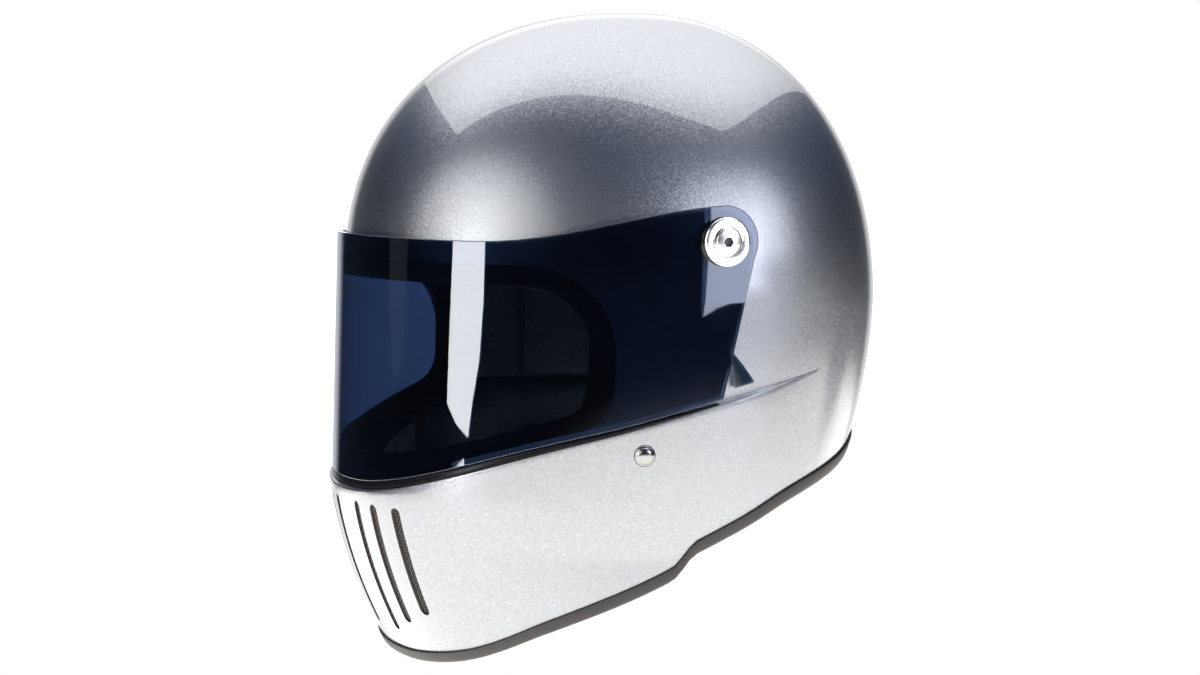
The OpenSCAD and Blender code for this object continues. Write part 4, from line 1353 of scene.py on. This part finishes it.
KEPT = {"crown_liner": foam, "chin_liner": foam, "cheek_block_left": foam, "cheek_block_right": foam,
        "vent_mesh": gauze, "pivot_bushes": nylon, "friction_washers": acetal, "pivot_nuts": zinc,
        "anchor_plates": zinc, "snap_post": chrome, "snap_socket": chrome}
for name, finish in KEPT.items():
    for holder in nodes[name].material_slots:
        holder.material = finish


# Floor, lights and surroundings. The surroundings are set on the axes of the worn attitude.

FLOOR_R = 40


def make_floor():
    bm = bmesh.new()
    bmesh.ops.create_circle(bm, cap_ends=True, segments=64, radius=FLOOR_R)
    made, add = bare_material("studio_floor")
    white = add("ShaderNodeEmission", Color=(1, 1, 1, 1), Strength=1.0)
    blend = add("ShaderNodeMixShader", {"Fac": add("ShaderNodeLightPath").outputs["Is Camera Ray"],
                                        1: add("ShaderNodeBsdfTransparent").outputs[0], 2: white.outputs[0]})
    add("ShaderNodeOutputMaterial", {"Surface": blend.outputs[0]})
    floor = piece_of("studio_floor", bm, [made], Matrix(), smooth=False)
    floor.visible_shadow = False


STRIP = 13.2
FRONT_GLOW = 3.15
FAR_STRIP = 0.15
REAR_SIDE = 5.8
REAR_GLOW = 4.3
OVERHEAD = 2.7
GROUND = 2.95
BEHIND = 0.95
THROUGH = 3.0
LOW_DUSK = (0.02, 0.027, 0.045)
HIGH_DUSK = (0.06, 0.09, 0.17)


def make_surroundings():
    world = bpy.data.worlds.new("studio")
    world.use_nodes = True
    scene.world = world
    tree = world.node_tree
    tree.nodes.clear()
    add = node_adder(tree)

    def share(axis, low, high):
        """0 to 1 as the direction's part along an axis goes from low to high."""
        dot = add("ShaderNodeVectorMath", {0: direction}, operation="DOT_PRODUCT")
        dot.inputs[1].default_value = axis
        ramp = add("ShaderNodeMapRange", {"Value": dot.outputs["Value"]}, interpolation_type="SMOOTHSTEP",
                   **{"From Min": low, "From Max": high})
        return ramp.outputs["Result"]

    def blend(factor, one, other):
        node = add("ShaderNodeMix", data_type="RGBA")
        tree.links.new(factor, node.inputs["Factor"])
        for socket, value in ((node.inputs[6], one), (node.inputs[7], other)):
            if isinstance(value, tuple):
                socket.default_value = (*value, 1)
            else:
                tree.links.new(value, socket)
        return node.outputs[2]

    direction = add("ShaderNodeTexCoord").outputs["Generated"]
    colour = blend(share(worn_up, 0.1, 0.55), LOW_DUSK, HIGH_DUSK)
    colour = blend(share(ground_up, -0.12, -0.2), colour, (GROUND, 0.975 * GROUND, 0.93 * GROUND))
    colour = blend(share(rear_shade, 0.955, 0.99), colour, LOW_DUSK)
    colour = blend(share(view_direction, 0.82, 0.92), colour, (BEHIND, BEHIND, 1.01 * BEHIND))
    colour = blend(share(view_direction, 0.97, 0.988), colour, (THROUGH, THROUGH, THROUGH))
    seen = add("ShaderNodeLightPath").outputs["Is Camera Ray"]
    colour = blend(seen, colour, (1.0, 1.0, 1.0))
    back = add("ShaderNodeBackground", {"Color": colour}, Strength=1.0)
    add("ShaderNodeOutputWorld", {"Surface": back.outputs[0]})


def worn_plane(n, across, up, away=1500):
    """Places in a plane square to a line from the worn origin, from distances along its two directions."""
    n, across, up = (Vector(v).normalized() for v in (n, across, up))
    return lambda h, v: n * away + across * h + up * v


def light_panel(name, plane, corners, radiance, tint=(1, 1, 1), fades=(), spot=None):
    """A flat studio light with its corners given in its plane, with soft edges where asked.

    Each fade is (0 across or 1 up, full, dark). A spot is (centre, radii): bright in the middle only."""
    bm = bmesh.new()
    face = bm.faces.new([bm.verts.new(plane(h, v)) for h, v in corners])
    uv = bm.loops.layers.uv.new("UVMap")
    for loop, (h, v) in zip(face.loops, corners):
        loop[uv].uv = (h / 1000, v / 1000)
    made, add = bare_material(name)
    place = add("ShaderNodeTexCoord").outputs["UV"]
    parts = add("ShaderNodeSeparateXYZ", {0: place})
    ranges = [(parts.outputs[way], full / 1000, dark / 1000) for way, full, dark in fades]
    if spot:
        (x, y), (wide, high) = spot
        around = add("ShaderNodeMapping", {"Vector": place}, vector_type="TEXTURE",
                     Location=(x / 1000, y / 1000, 0), Scale=(wide / 1000, high / 1000, 1))
        length = add("ShaderNodeVectorMath", {0: around.outputs["Vector"]}, operation="LENGTH")
        ranges.append((length.outputs["Value"], 0.0, 1.0))
    strength = None
    for value, full, dark in ranges:
        most = 1.0 if strength else radiance
        fade = add("ShaderNodeMapRange", {"Value": value}, interpolation_type="SMOOTHSTEP",
                   **{"From Min": full, "From Max": dark, "To Min": most, "To Max": 0.0})
        if strength:
            fade = add("ShaderNodeMath", {0: strength, 1: fade.outputs["Result"]}, operation="MULTIPLY")
        strength = fade.outputs[0]
    glow = add("ShaderNodeEmission", {"Strength": strength} if strength else None, Color=(*tint, 1),
               Strength=radiance)
    clear = add("ShaderNodeBsdfTransparent")
    both = add("ShaderNodeAddShader", {0: glow.outputs[0], 1: clear.outputs[0]})
    add("ShaderNodeOutputMaterial", {"Surface": both.outputs[0]})
    panel = piece_of(name, bm, [made], smooth=False)
    panel.visible_camera = False


make_floor()
make_surroundings()

FRONT_AXES = (0.308, -0.949, -0.07), (0.951, 0.309, 0), (0.022, -0.066, 0.998)
REAR_AXES = (0.829, 0.559, 0), (-0.559, 0.829, 0), (0, 0, 1)
GLOW_AWAY = 1530
REAR_BLUE = (0.94, 1.0, 1.25)

front = worn_plane(*FRONT_AXES)
rear = worn_plane(*REAR_AXES)
aside = worn_plane((-0.468, -0.881, -0.07), (0.883, -0.469, 0), (-0.033, -0.062, 0.998))
above = worn_plane((-0.433, 0.25, 0.866), (-0.5, -0.866, 0), (0.75, -0.433, 0.5))
light_panel("front_strip", front,
            [(-110, 230), (-119, 79), (-143, -10), (-150, -67), (-115, -72), (-14, -85), (160, -98),
             (202, -67), (285, -28), (322, 27), (324, 79), (324, 230)], STRIP)
light_panel("front_strip_foot", front, [(110, -116), (-94, -133), (124, -130)], STRIP)
light_panel("front_glow", worn_plane(*FRONT_AXES, GLOW_AWAY),
            [(-1800, 260), (1700, 260), (1700, 2100), (-1800, 2100)], FRONT_GLOW, (1.0, 0.985, 0.95),
            spot=((130, 520), (1750, 1400)))
light_panel("far_strip", aside,
            [(-80, 230), (-31, 20), (60, -40), (190, -52), (276, -30), (321, 20), (335, 230)], FAR_STRIP,
            (0.8, 0.9, 1.0))
light_panel("rear_side_box", rear,
            [(-296, 600), (-296, 3), (-299, -75), (-301, -91), (-288, -82), (-275, -77), (-246, -75),
             (-246, 600)], REAR_SIDE, REAR_BLUE, fades=[(1, 150, 600)])
light_panel("rear_side_fall", rear, [(-246, -75), (700, -66), (700, 600), (-246, 600)],
            REAR_SIDE, REAR_BLUE, fades=[(0, -246, 60), (1, 150, 600), (1, 20, -80)])
light_panel("rear_glow", worn_plane(*REAR_AXES, GLOW_AWAY),
            [(-1100, 60), (1200, 60), (1200, 1600), (-1100, 1600)], REAR_GLOW, (0.96, 0.98, 1.06),
            fades=[(1, 280, 60)], spot=((-110, 470), (720, 760)))
light_panel("overhead_box", above, [(2137, 1357), (-1775, 1678), (-621, -1202), (970, -1202)], OVERHEAD,
            (1.0, 0.99, 0.97), fades=[(1, 900, -2200)])

scene.view_settings.view_transform = "Standard"
scene.view_settings.look = "None"
